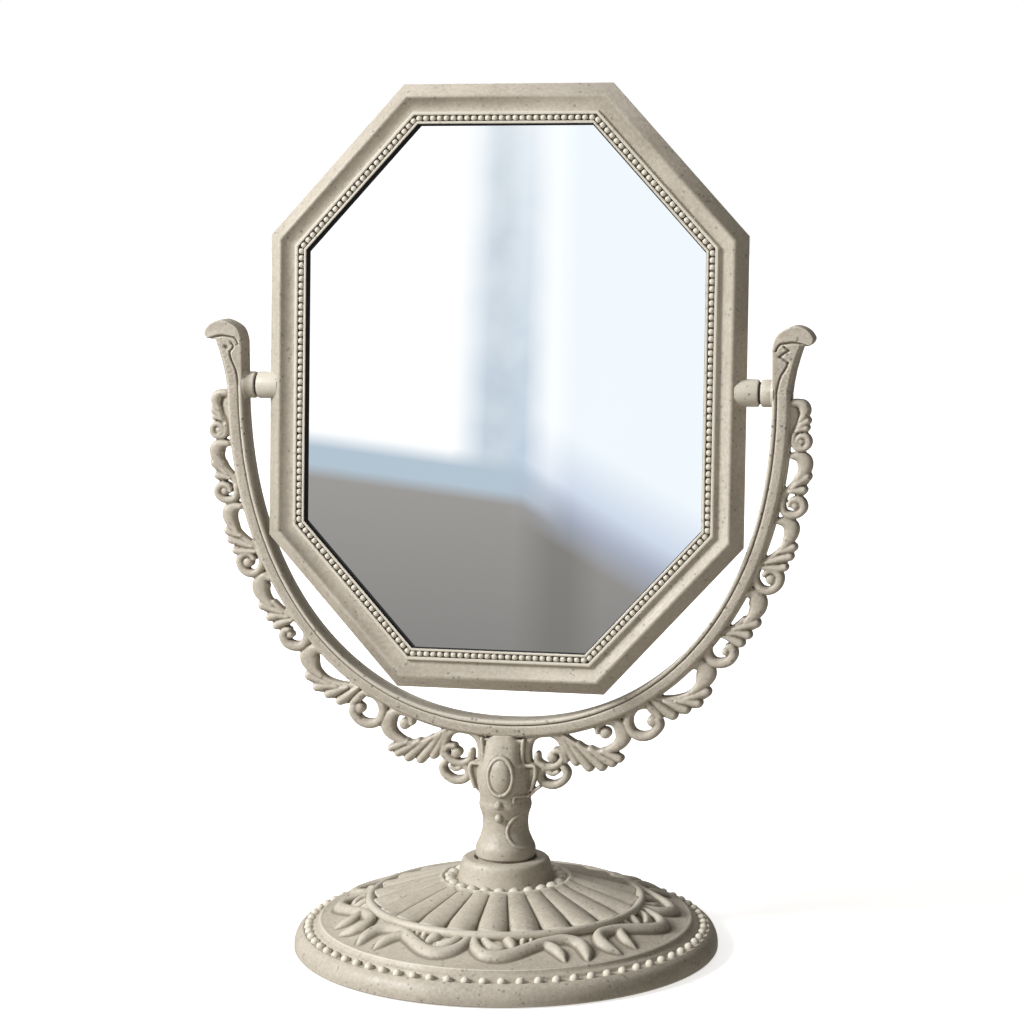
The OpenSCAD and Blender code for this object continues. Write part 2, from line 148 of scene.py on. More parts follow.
def join(name, pieces):
    clear_selection()
    for piece in pieces:
        piece.select_set(True)
    bpy.context.view_layer.objects.active = pieces[0]
    if len(pieces) > 1:
        bpy.ops.object.join()
    pieces[0].name = name
    pieces[0].data.name = name
    return pieces[0]


def tidy_mesh(obj, threshold=1e-3):
    start_edit(obj)
    bpy.ops.mesh.remove_doubles(threshold=threshold)
    bpy.ops.mesh.normals_make_consistent(inside=False)
    end_edit()


def apply_modifier(obj, kind, name, **settings):
    modifier = obj.modifiers.new(name, kind)
    for key, value in settings.items():
        setattr(modifier, key, value)
    pick(obj)
    bpy.ops.object.modifier_apply(modifier=modifier.name)


def spun(name, outline, steps):
    """Spins a closed outline of (radius, height) points round the upright axis."""
    count = len(outline)
    obj = new_object(
        name,
        [(r, 0, z) for r, z in outline],
        edges=[(i, (i + 1) % count) for i in range(count)],
    )
    start_edit(obj)
    bpy.ops.mesh.spin(
        steps=steps, angle=FULL_TURN, center=(0, 0, 0), axis=(0, 0, 1)
    )
    end_edit()
    tidy_mesh(obj)
    return obj


def loft(name, rings, closed_path=False):
    """Skins equal rings of points; an open run gets an end face at both ends."""
    rings = np.asarray(rings, float)
    count, width, _ = rings.shape
    verts = rings.reshape(-1, 3)
    faces = []
    for i in range(count if closed_path else count - 1):
        a, b = i * width, ((i + 1) % count) * width
        for j in range(width):
            k = (j + 1) % width
            faces.append((a + j, a + k, b + k, b + j))
    if not closed_path:
        faces.append(tuple(range(width - 1, -1, -1)))
        faces.append(tuple(range((count - 1) * width, count * width)))
    return new_object(name, verts, faces=faces)


def voxel_fuse(obj, size, smooth_passes=2):
    """Fuses overlapping closed pieces into one moulded skin."""
    apply_modifier(
        obj, "REMESH", "Fuse", mode="VOXEL", voxel_size=size, adaptivity=0.0
    )
    if smooth_passes:
        apply_modifier(
            obj, "SMOOTH", "Soften", factor=0.5, iterations=smooth_passes
        )


def note_recesses(obj, passes=4):
    """Stores how hollow or raised the surface is at each point, for the painted shade and painted highlight
    of the finish.
    """
    mesh = obj.data
    count = len(mesh.vertices)
    co = read_points(obj)
    normal = np.empty(count * 3)
    mesh.vertices.foreach_get("normal", normal)
    normal = normal.reshape(-1, 3)
    ends = np.empty(len(mesh.edges) * 2, int)
    mesh.edges.foreach_get("vertices", ends)
    a, b = ends[::2], ends[1::2]
    near = np.bincount(a, minlength=count) + np.bincount(b, minlength=count)
    near = np.maximum(near, 1)

    def neighbours(values):
        total = np.bincount(a, values[b], count) + np.bincount(b, values[a], count)
        return total / near

    mean = np.stack([neighbours(co[:, k]) for k in range(3)], 1)
    span = np.linalg.norm(co[a] - co[b], axis=1)
    length = (np.bincount(a, span, count) + np.bincount(b, span, count)) / near
    hollow = ((mean - co) * normal).sum(1) / np.maximum(length, 1e-9)
    for _ in range(passes):
        hollow = 0.5 * hollow + 0.5 * neighbours(hollow)
    layer = mesh.attributes.new("recess", "FLOAT", "POINT")
    layer.data.foreach_set("value", hollow.astype(np.float32))


def flip_faces(obj):
    start_edit(obj)
    bpy.ops.mesh.flip_normals()
    end_edit()


def mirror_across(obj):
    """Makes a piece its own mirror image across the upright middle plane."""
    write_points(obj, read_points(obj) * (-1, 1, 1))
    flip_faces(obj)


def settle(obj, body, node, finish, angle=None, passes=4):
    """Takes a piece from millimetres to its final mesh, sets its body, slot and finish, and hides the
    working part it stands for.
    """
    write_points(obj, read_points(obj) * MM)
    if passes is not None:
        note_recesses(obj, passes)
    pick(obj)
    if angle is None:
        bpy.ops.object.shade_smooth()
    else:
        bpy.ops.object.shade_smooth_by_angle(angle=math.radians(angle))
    obj.data.materials.clear()
    obj.data.materials.append(FINISHES[finish])
    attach(obj, body)
    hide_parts(node)
    clear_selection()
    return obj


def smooth_line(points, k):
    """Smooth line through points of any width, k steps between neighbours."""
    p = np.asarray(points, float)
    last = len(p) - 1
    out = []
    for i in range(last):
        a, b = p[max(i - 1, 0)], p[i]
        c, d = p[i + 1], p[min(i + 2, last)]
        for j in range(k):
            t = j / k
            bend = (2 * a - 5 * b + 4 * c - d) * t * t + (3 * b - a - 3 * c + d) * t ** 3
            out.append(0.5 * (2 * b + (c - a) * t + bend))
    out.append(p[last])
    return np.array(out)


def line_distance(points, line):
    """Distance of each 2-D point to a line of (x, y, half width) points, and the width there."""
    best = np.full(len(points), 1e9)
    width = np.zeros(len(points))
    for a, b in zip(line[:-1], line[1:]):
        ab = b[:2] - a[:2]
        size = max((ab * ab).sum(), 1e-12)
        t = np.clip(((points - a[:2]) @ ab) / size, 0, 1)
        gap = np.linalg.norm(points - a[:2] - t[:, None] * ab, axis=1)
        w = a[2] + (b[2] - a[2]) * t
        closer = gap - w < best - width
        best = np.where(closer, gap, best)
        width = np.where(closer, w, width)
    return best, width


# ---- finishes ----

FINISHES = {}


class Graph:
    """Small helper that adds and links shader nodes."""

    def __init__(self, name):
        self.material = bpy.data.materials.new(name)
        self.material.use_nodes = True
        self.tree = self.material.node_tree
        self.shader = self.tree.nodes["Principled BSDF"]
        coords = self.add("ShaderNodeTexCoord")
        self.place = coords.outputs["Object"]

    def add(self, kind, **values):
        node = self.tree.nodes.new(kind)
        for key, value in values.items():
            setattr(node, key, value)
        return node

    def link(self, source, target):
        self.tree.links.new(source, target)

    def noise(self, scale, detail=3.0, rough=0.5):
        node = self.add("ShaderNodeTexNoise")
        node.inputs["Scale"].default_value = scale
        node.inputs["Detail"].default_value = detail
        node.inputs["Roughness"].default_value = rough
        self.link(self.place, node.inputs["Vector"])
        return node.outputs["Fac"]

    def cells(self, scale):
        node = self.add("ShaderNodeTexVoronoi")
        node.inputs["Scale"].default_value = scale
        self.link(self.place, node.inputs["Vector"])
        return node.outputs["Distance"]

    def span(self, source, low, high, out_low=0.0, out_high=1.0):
        node = self.add("ShaderNodeMapRange")
        node.inputs["From Min"].default_value = low
        node.inputs["From Max"].default_value = high
        node.inputs["To Min"].default_value = out_low
        node.inputs["To Max"].default_value = out_high
        self.link(source, node.inputs["Value"])
        return node.outputs["Result"]

    def maths(self, operation, a, b):
        node = self.add("ShaderNodeMath", operation=operation)
        for socket, value in zip(node.inputs, (a, b)):
            if isinstance(value, (int, float)):
                socket.default_value = value
            else:
                self.link(value, socket)
        return node.outputs["Value"]

    def times(self, a, b):
        return self.maths("MULTIPLY", a, b)

    def blend(self, factor, first, second):
        node = self.add("ShaderNodeMix", data_type="RGBA")
        self.link(factor, node.inputs["Factor"])
        for key, value in ((6, first), (7, second)):
            if isinstance(value, (tuple, list)) or hasattr(value, "hsv"):
                node.inputs[key].default_value = (*value[:3], 1.0)
            else:
                self.link(value, node.inputs[key])
        return node.outputs[2]

    def colour(self, source):
        self.link(source, self.shader.inputs["Base Color"])

    def rough(self, source):
        self.link(source, self.shader.inputs["Roughness"])

    def bump(self, source, strength, distance):
        node = self.add("ShaderNodeBump")
        node.inputs["Strength"].default_value = strength
        node.inputs["Distance"].default_value = distance
        self.link(source, node.inputs["Height"])
        self.link(node.outputs["Normal"], self.shader.inputs["Normal"])


def moulded_finish(name, base, light, dark, speck, grain=1.0):
    """Speckled cast plastic: painted shade darkens the recesses, and a painted highlight makes the raised
    edges paler.
    """
    g = Graph(name)
    patch = g.span(g.noise(48, 4, 0.6), 0.38, 0.72)
    colour = g.blend(g.times(patch, 0.36), base, dark)
    fine = g.span(g.noise(760, 5, 0.75), 0.44, 0.60)
    colour = g.blend(g.times(fine, 0.30), colour, light)
    hollow = g.add("ShaderNodeAttribute", attribute_name="recess").outputs["Fac"]
    # Painted highlight: raised parts blend towards the light tone.
    raised = g.span(hollow, -0.02, -0.12)
    colour = g.blend(g.times(raised, 0.75), colour, light)
    # Painted shade: hollows blend towards the dark tone.
    sunk = g.span(hollow, 0.008, 0.085)
    colour = g.blend(g.times(sunk, 0.92), colour, dark)
    grit = g.span(g.noise(1500, 3, 0.7), 0.60, 0.68)
    colour = g.blend(g.times(grit, 0.38 * grain), colour, speck)
    spots = g.span(g.cells(560), 0.34, 0.18)
    sparse = g.span(g.noise(300, 2, 0.5), 0.53, 0.60)
    colour = g.blend(g.times(g.times(spots, sparse), 0.75 * grain), colour, speck)
    g.colour(colour)
    g.rough(g.span(g.noise(240, 4, 0.6), 0.3, 0.75, 0.38, 0.60))
    g.shader.inputs["Specular IOR Level"].default_value = 0.40
    g.bump(g.noise(1100, 5, 0.7), 0.35 * grain, 0.00025)
    return g.material


def darker(tone, share):
    return tuple(share * c for c in tone)


def steel_finish(name, tone):
    g = Graph(name)
    streak = g.span(g.noise(700, 4, 0.6), 0.3, 0.7)
    g.colour(g.blend(streak, tone, darker(tone, 0.72)))
    g.rough(g.span(g.noise(1400, 3), 0.3, 0.7, 0.26, 0.42))
    g.shader.inputs["Metallic"].default_value = 1.0
    g.bump(g.noise(2400, 3), 0.12, 0.0001)
    return g.material


def soft_finish(name, tone, pale, scale, depth):
    g = Graph(name)
    mottle = g.span(g.noise(scale, 5, 0.7), 0.35, 0.65)
    g.colour(g.blend(mottle, tone, pale))
    g.rough(g.span(g.noise(scale * 2), 0.3, 0.7, 0.78, 0.96))
    g.bump(g.cells(scale * 2.2), 0.5, depth)
    return g.material


def silvered_glass():
    g = Graph("silvered_glass")
    haze = g.span(g.noise(9, 2, 0.4), 0.3, 0.8)
    g.colour(g.blend(haze, (0.955, 0.965, 0.97), (0.93, 0.945, 0.955)))
    g.rough(g.span(g.noise(30, 3), 0.4, 0.9, 0.004, 0.02))
    g.shader.inputs["Metallic"].default_value = 1.0
    return g.material


def make_finishes(tones):
    """Fills FINISHES: each moulded finish from the user's tones, then those of the working parts."""
    base, raised, sunk, speck = tones.plastic, tones.plastic_highlight_and_fleck, tones.plastic_shade_and_mottle, tones.speck
    for key, name, *mix in (
        ("plastic", "speckled_plastic", base, raised, sunk, speck),
        # Beads and raised rails are painted paler in the highlight tone: painted highlight.
        ("raised_highlight", "raised_highlight_plastic", raised, raised, base, speck, 0.6),
        ("cover", "cover_plastic", darker(base, 0.72), base, sunk, speck),
        ("pebbled", "pebbled_plastic", base, raised, sunk, speck, 1.7),
        # Groove floor under the frame beads: a dark tone painted for the shade there.
        ("groove", "groove_painted_shade", darker(sunk, 0.55), sunk, darker(sunk, 0.3), speck),
    ):
        FINISHES[key] = moulded_finish(name, *mix)
    for key, name, *mix in (
        ("edge", "black_edge", (0.008, 0.008, 0.009), (0.02, 0.02, 0.021), 500, 0.00005),
        ("iron", "cast_iron", (0.05, 0.05, 0.052), (0.10, 0.098, 0.095), 400, 0.0003),
        ("foam", "foam_pad", (0.018, 0.018, 0.02), (0.05, 0.05, 0.052), 900, 0.0004),
        ("washer", "fibre_washer", (0.03, 0.026, 0.022), (0.08, 0.07, 0.06), 1500, 0.0001),
        ("card", "grey_card", (0.34, 0.29, 0.22), (0.45, 0.40, 0.32), 350, 0.0001),
    ):
        FINISHES[key] = soft_finish(name, *mix)
    FINISHES["steel"] = steel_finish("zinc_steel", (0.60, 0.61, 0.62))
    FINISHES["glass"] = silvered_glass()


# ---- sizes and colours a user would change ----


class SwivelMirrorSizes(bpy.types.PropertyGroup):
    rim_beads: IntProperty(
        name="Rim beads", description="Beads round the rim of the base",
        default=72, min=24, max=120,
    )
    gadroons: IntProperty(
        name="Gadroons", description="Ribs round the raised middle of the base",
        default=24, min=12, max=40,
    )
    relief_height: FloatProperty(
        name="Relief height", description="Height of the ribbon scrolls on the base",
        default=1.9 * MM, min=0.5 * MM, max=3 * MM, unit="LENGTH",
    )
    frame_bead: FloatProperty(
        name="Frame bead", description="Diameter of the small beads round the glass",
        default=1.95 * MM, min=1.2 * MM, max=2.2 * MM, unit="LENGTH",
    )
    frame_bead_pitch: FloatProperty(
        name="Frame bead pitch", description="Distance between the small beads round the glass",
        default=2.26 * MM, min=1.5 * MM, max=4 * MM, unit="LENGTH",
    )
    scroll_grain: FloatProperty(
        name="Scroll grain", description="Size of the mesh cells of the fused scrollwork",
        default=0.3 * MM, min=0.2 * MM, max=1 * MM, unit="LENGTH",
    )


class SwivelMirrorTones(bpy.types.PropertyGroup):
    plastic: FloatVectorProperty(
        name="Plastic", description="Colour of the moulded plastic", subtype="COLOR",
        default=(0.475, 0.428, 0.356), min=0, max=1,
    )
    # Tone of the painted highlight on raised edges, beads and rails, and of the pale flecks in the fine
    # mottle.
    plastic_highlight_and_fleck: FloatVectorProperty(
        name="Raised plastic", description="Colour of highlight_painted edges and beads", subtype="COLOR",
        default=(0.68, 0.64, 0.555), min=0, max=1,
    )
    # Tone of the painted shade in grooves and recesses, and of the dark patches in the mottle.
    plastic_shade_and_mottle: FloatVectorProperty(
        name="Sunk plastic", description="Colour in grooves and recesses", subtype="COLOR",
        default=(0.20, 0.170, 0.125), min=0, max=1,
    )
    speck: FloatVectorProperty(
        name="Specks", description="Colour of the fine dark specks", subtype="COLOR",
        default=(0.22, 0.20, 0.17), min=0, max=1,
    )


# ---- base ----

# Outlines as (radius, height).
RIM_TOP = [
    (70, 1.0), (70, 2.9), (69.5, 4.6), (68.7, 6.0), (67.3, 7.1), (66.9, 7.25), (66.5, 6.9),
    (64.0, 6.9), (63.7, 7.3), (63.4, 8.1), (62.4, 8.5), (61.9, 9.1), (61.4, 10.1),
    (60.2, 10.2), (59.0, 10.2),
]
RIM_UNDER = [(59.0, 8.2), (62.2, 6.0), (66.2, 4.6), (68.4, 2.4), (68.4, 0.5), (69.6, 0.5)]
RING_R, RING_Z, RING_THICK = 44.7, 15.75, 1.5
ROUND_STEPS = 216

CONE_IN, CONE_OUT = 21.3, 43.0
CONE_HIGH, CONE_LOW = 23.6, 17.4


def cone_height(r):
    return CONE_HIGH + (CONE_LOW - CONE_HIGH) * (r - CONE_IN) / (CONE_OUT - CONE_IN)


def round_path(points):
    """Cuts the corners of an open outline into small rounds, twice over."""
    p = np.asarray(points, float)
    for _ in range(2):
        a, b = p[:-1], p[1:]
        cut = np.empty((len(a) * 2, 2))
        cut[::2], cut[1::2] = a * 0.75 + b * 0.25, a * 0.25 + b * 0.75
        p = np.vstack([p[:1], cut, p[-1:]])
    return p


def bead_ball(name, radius, segments, rings):
    """Adds a ball at the middle, ready to be shaped."""
    clear_selection()
    bpy.ops.mesh.primitive_uv_sphere_add(segments=segments, ring_count=rings, radius=radius)
    bpy.context.object.name = name
    return bpy.context.object


class SWIVELMIRROR_OT_base_rim(bpy.types.Operator):
    """Spins the rim of the base, its bead channel and the thin ring round the gadroons"""

    bl_idname = "swivelmirror.base_rim"
    bl_label = "Base rim"

    def execute(self, context):
        outline = [(r * BASE_SCALE, z) for r, z in [*round_path(RIM_TOP), *RIM_UNDER]]
        rim = spun("base_rim", outline, ROUND_STEPS)
        section = [(RING_R * BASE_SCALE + RING_THICK * math.cos(t), RING_Z + RING_THICK * math.sin(t))
                   for t in np.linspace(0, FULL_TURN, 17)[:-1]]
        ring = spun("base_ring", section, ROUND_STEPS)
        settle(join("base_rim", [rim, ring]), STAND, "base_shell", "plastic", 32, 2)
        return {"FINISHED"}


FIELD_IN, FIELD_OUT = 45.0, 61.6
FIELD_STEPS = 784  # round the field, fine enough for the scrolls


def field_height(r):
    return np.interp(r, [FIELD_IN, 46.4, 58.0, FIELD_OUT], [14.5, 14.2, 10.7, 9.9])


# Scrolls of one eighth of the field: angle from the front in degrees, radius and half width.
FIELD_RIBBONS = [
    [(0.9, 43.6, 1.6), (1.7, 47.6, 1.8), (3.6, 51.4, 2.1), (7.0, 54.3, 2.3), (11.0, 55.0, 2.4),
     (15.2, 53.9, 2.4), (19.4, 51.9, 2.3), (23.6, 49.9, 2.2), (28.0, 48.3, 2.1), (32.6, 47.6, 2.0),
     (36.8, 47.8, 2.1), (39.8, 49.6, 2.3), (41.0, 52.2, 2.5), (40.8, 55.0, 2.3), (39.9, 57.4, 1.5),
     (39.0, 59.4, 0.4)],
    [(27.0, 48.6, 1.4), (29.6, 50.6, 1.9), (31.2, 53.0, 2.1), (31.8, 55.6, 1.7), (31.9, 58.2, 0.5)],
    [(4.6, 43.8, 1.2), (5.8, 46.8, 1.6), (8.2, 49.2, 1.7), (11.4, 50.2, 1.2), (13.2, 50.0, 0.4)],
    [(13.6, 44.0, 1.5), (15.1, 46.8, 2.0), (16.0, 48.8, 1.4), (16.2, 50.4, 0.4)],
    [(20.4, 44.0, 1.1), (20.3, 46.4, 1.15), (19.6, 48.0, 0.5)],
    [(23.9, 44.0, 0.95), (23.7, 46.0, 0.95), (23.2, 47.4, 0.4)],
    [(27.0, 44.0, 0.8), (26.7, 45.6, 0.8), (26.3, 46.6, 0.4)],
]


class SWIVELMIRROR_OT_base_field(bpy.types.Operator):
    """Spins the sloping field and raises its ribbon scrolls, four times round and mirrored"""

    bl_idname = "swivelmirror.base_field"
    bl_label = "Base field"

    def execute(self, context):
        high = context.scene.swivel_mirror_sizes.relief_height / MM
        outline = [(r, field_height(r)) for r in np.linspace(FIELD_OUT, FIELD_IN, 44)]
        outline += [(FIELD_IN, 12.6), (FIELD_OUT, 8.3)]
        field = spun("base_field", [(r * BASE_SCALE, z) for r, z in outline], FIELD_STEPS)
        co = read_points(field)
        r = np.hypot(co[:, 0], co[:, 1]) / BASE_SCALE
        top = co[:, 2] > field_height(r) - 0.2
        turn = np.degrees(np.arctan2(co[:, 1], co[:, 0])) + 90
        fold = np.radians(np.abs((turn + 45) % 90 - 45))
        flat = np.stack([r * np.sin(fold), r * np.cos(fold)], 1)
        rise = np.zeros(len(co))
        for ribbon in FIELD_RIBBONS:
            line = smooth_line([(q * math.sin(math.radians(a)), q * math.cos(math.radians(a)), w)
                                for a, q, w in ribbon], 5)
            gap, width = line_distance(flat, line)
            swell = np.clip(1 - (gap / width) ** 2, 0, 1) ** 0.6
            rise = np.maximum(rise, high * swell * (0.2 + 0.42 * width))
        co[:, 2] += np.where(top, rise, 0)
        write_points(field, co)
        settle(field, STAND, "base_shell", "plastic", None, 3)
        return {"FINISHED"}


class SWIVELMIRROR_OT_base_gadroons(bpy.types.Operator):
    """Spins the raised middle and presses it into rounded ribs with sharp valleys"""

    bl_idname = "swivelmirror.base_gadroons"
    bl_label = "Base gadroons"

    def execute(self, context):
        ribs = context.scene.swivel_mirror_sizes.gadroons
        outline = [(r, cone_height(r)) for r in np.linspace(CONE_IN, CONE_OUT, 30)]
        outline += [(CONE_OUT + 1.2 * math.sin(t), CONE_LOW - 1.6 * (1 - math.cos(t)))
                    for t in np.linspace(0, math.pi / 2, 7)[1:]]
        outline += [(CONE_OUT + 1.2, 14.6), (CONE_IN - 1.2, 18.0), (CONE_IN - 1.2, 22.4),
                    (CONE_IN - 0.9, 23.1), (CONE_IN - 0.5, 23.5)]
        body = spun("base_gadroons", outline, ribs * 20)
        co = read_points(body)
        r = np.hypot(co[:, 0], co[:, 1])
        turn = np.arctan2(co[:, 1], co[:, 0])
        pitch = FULL_TURN / ribs
        across = np.abs(((turn / pitch) % 1) - 0.5) * 2
        along = np.clip((r - CONE_IN) / (CONE_OUT - CONE_IN), 0, 1)
        top = co[:, 2] > 14.7
        valley = (1 - np.sqrt(np.clip(1 - (0.99 * across) ** 1.8, 0, 1))) * (0.8 + 2.3 * along)
        fade = np.clip(along / 0.06, 0, 1)
        co[:, 2] -= np.where(top & (r > CONE_IN + 0.01), valley * fade, 0)
        pull = np.where(top, 3.2 * across ** 2.4 * np.clip((along - 0.72) / 0.28, 0, 1), 0)
        co[:, 0] *= (r - pull) / r
        co[:, 1] *= (r - pull) / r
        write_points(body, co)
        settle(body, STAND, "base_shell", "plastic", 40, 2)
        return {"FINISHED"}


class SWIVELMIRROR_OT_base_collar(bpy.types.Operator):
    """Spins the tapered collar that the stem stands in"""

    bl_idname = "swivelmirror.base_collar"
    bl_label = "Base collar"

    def execute(self, context):
        high = COLLAR_TOP
        outside = round_path([
            (20.8, 22.2), (16.2, 22.3), (15.8, 23.2), (15.2, 25.6), (14.8, 28.0), (14.4, 29.3),
            (13.5, high - 0.1), (12.4, high), (10.6, high), (10.25, high - 0.25), (10.2, high - 3),
        ])
        inside = [(9.2, high - 3), (9.2, 19.0), (20.8, 19.0)]
        collar = spun("base_collar", [*outside, *inside], 128)
        settle(collar, STAND, "base_shell", "plastic", 40, 2)
        return {"FINISHED"}


def copies(name, model, places):
    """Copies one modelled piece to each 4 x 4 placing matrix and joins the copies."""
    verts = read_points(model)
    faces = [tuple(p.vertices) for p in model.data.polygons]
    all_verts, all_faces = [], []
    for i, place in enumerate(places):
        m = np.array(place)
        all_verts.append(verts @ m[:3, :3].T + m[:3, 3])
        all_faces += [tuple(v + i * len(verts) for v in f) for f in faces]
    bpy.data.objects.remove(model)
    return new_object(name, np.vstack(all_verts), faces=all_faces)


def round_row(count, place):
    """Placing matrices of a row of equal pieces round the upright axis."""
    return [Matrix.Rotation((i + 0.5) * FULL_TURN / count, 4, "Z") @ place for i in range(count)]


class SWIVELMIRROR_OT_base_beads(bpy.types.Operator):
    """Sets the round beads along the rim and round the collar"""

    bl_idname = "swivelmirror.base_beads"
    bl_label = "Base beads"

    def execute(self, context):
        sizes = context.scene.swivel_mirror_sizes
        bead = bead_ball("rim_bead", 1.45 * BASE_SCALE, 16, 10)
        place = Matrix.Translation((65.2 * BASE_SCALE, 0, 7.25))
        rim = copies("rim_beads", bead, round_row(sizes.rim_beads, place))
        # Rim beads take the highlight tone: painted highlight.
        settle(rim, STAND, "base_shell", "raised_highlight", None, 1)
        bead = bead_ball("collar_bead", 1.0, 18, 12)
        place = Matrix.Translation((18.55, 0, 22.3)) @ Matrix.Diagonal((2.0, 2.15, 1.85, 1))
        small = copies("collar_beads", bead, round_row(sizes.gadroons, place))
        settle(small, STAND, "base_shell", "plastic", None, 1)
        return {"FINISHED"}


# ---- strokes of the scrollwork ----

BACK_Y = 1.7
FRONT_Y = -2.9
# Crown of a ribbon from side to side: share of its half width, and how far down its rounding.
CROWN = [(-1.0, 1.0), (-0.93, 0.62), (-0.75, 0.32), (-0.45, 0.09), (0.0, 0.0),
         (0.45, 0.09), (0.75, 0.32), (0.93, 0.62), (1.0, 1.0)]
END_TURNS = list(np.linspace(0, math.pi / 2, 5)[1:])  # stations of a rounded end


def stroke(points, steps=6, front=FRONT_Y, back=BACK_Y, crown=1.0):
    """Closed ribbon along (x, z, half width) points: flat back, straight sides, crowned front."""
    q = smooth_line(points, steps)
    keep = np.r_[True, np.linalg.norm(np.diff(q[:, :2], axis=0), axis=1) > 1e-4]
    q = q[keep]
    ahead = np.vstack([q[1:], q[-1:]])
    behind = np.vstack([q[:1], q[:-1]])
    way = (ahead - behind)[:, :2]
    way /= np.linalg.norm(way, axis=1)[:, None]

    def end_station(i, sign, t):
        half = q[i, 2]
        spot = q[i, :2] + sign * way[i] * half * math.sin(t)
        return spot, way[i], half * max(math.cos(t), 0.06), half

    stations = [end_station(0, -1, t) for t in reversed(END_TURNS)]
    stations += [(p[:2], w, p[2], p[2]) for p, w in zip(q, way)]
    stations += [end_station(-1, 1, t) for t in END_TURNS]
    rings = []
    for spot, w, half, size in stations:
        side = np.array([-w[1], w[0]])
        round_up = min(size * 0.95, 1.5) * crown
        drop = round_up * (1 - half / max(size, 1e-6)) * 0.9
        section = [(-0.8, back), (-1.0, back - 0.3)]
        section += [(u, front + v * round_up + drop) for u, v in CROWN]
        section += [(1.0, back - 0.3), (0.8, back)]
        ring = []
        for u, y in section:
            x, z = spot + side * u * half
            ring.append((x, y, z))
        rings.append(ring)
    return loft("stroke", rings)


def ball(spot, radius, front=FRONT_Y - 0.5, back=BACK_Y):
    """Domed boss that stands up through the ribbons."""
    profile = [(1.0, back), (1.0, front + radius * 0.75), (0.94, front + radius * 0.5),
               (0.78, front + radius * 0.25), (0.5, front + radius * 0.07), (0.2, front + 0.01)]
    turns = np.linspace(0, FULL_TURN, 21)[:-1]
    rings = [[(spot[0] + radius * share * math.cos(t), y, spot[1] + radius * share * math.sin(t))
              for t in turns] for share, y in profile]
    return loft("ball", rings)


def full(a, b, n, t):
    """Point on a full ellipse at angle t in degrees."""
    c, s = math.cos(math.radians(t)), math.sin(math.radians(t))
    x, z = a * math.copysign(abs(c) ** (2 / n), c), b * math.copysign(abs(s) ** (2 / n), s)
    return np.array([x, z])


def outer(t):
    return full(ARM_X + ARCH_W, ARCH_B + ARCH_W, OUTER_N, -t)


def off_arch(t, d):
    """Point d outside the arch, t degrees down from the pivot."""
    a, b = outer(t - 0.5), outer(t + 0.5)
    run = (b - a) / np.linalg.norm(b - a)
    return outer(t) + np.array([-run[1], run[0]]) * d


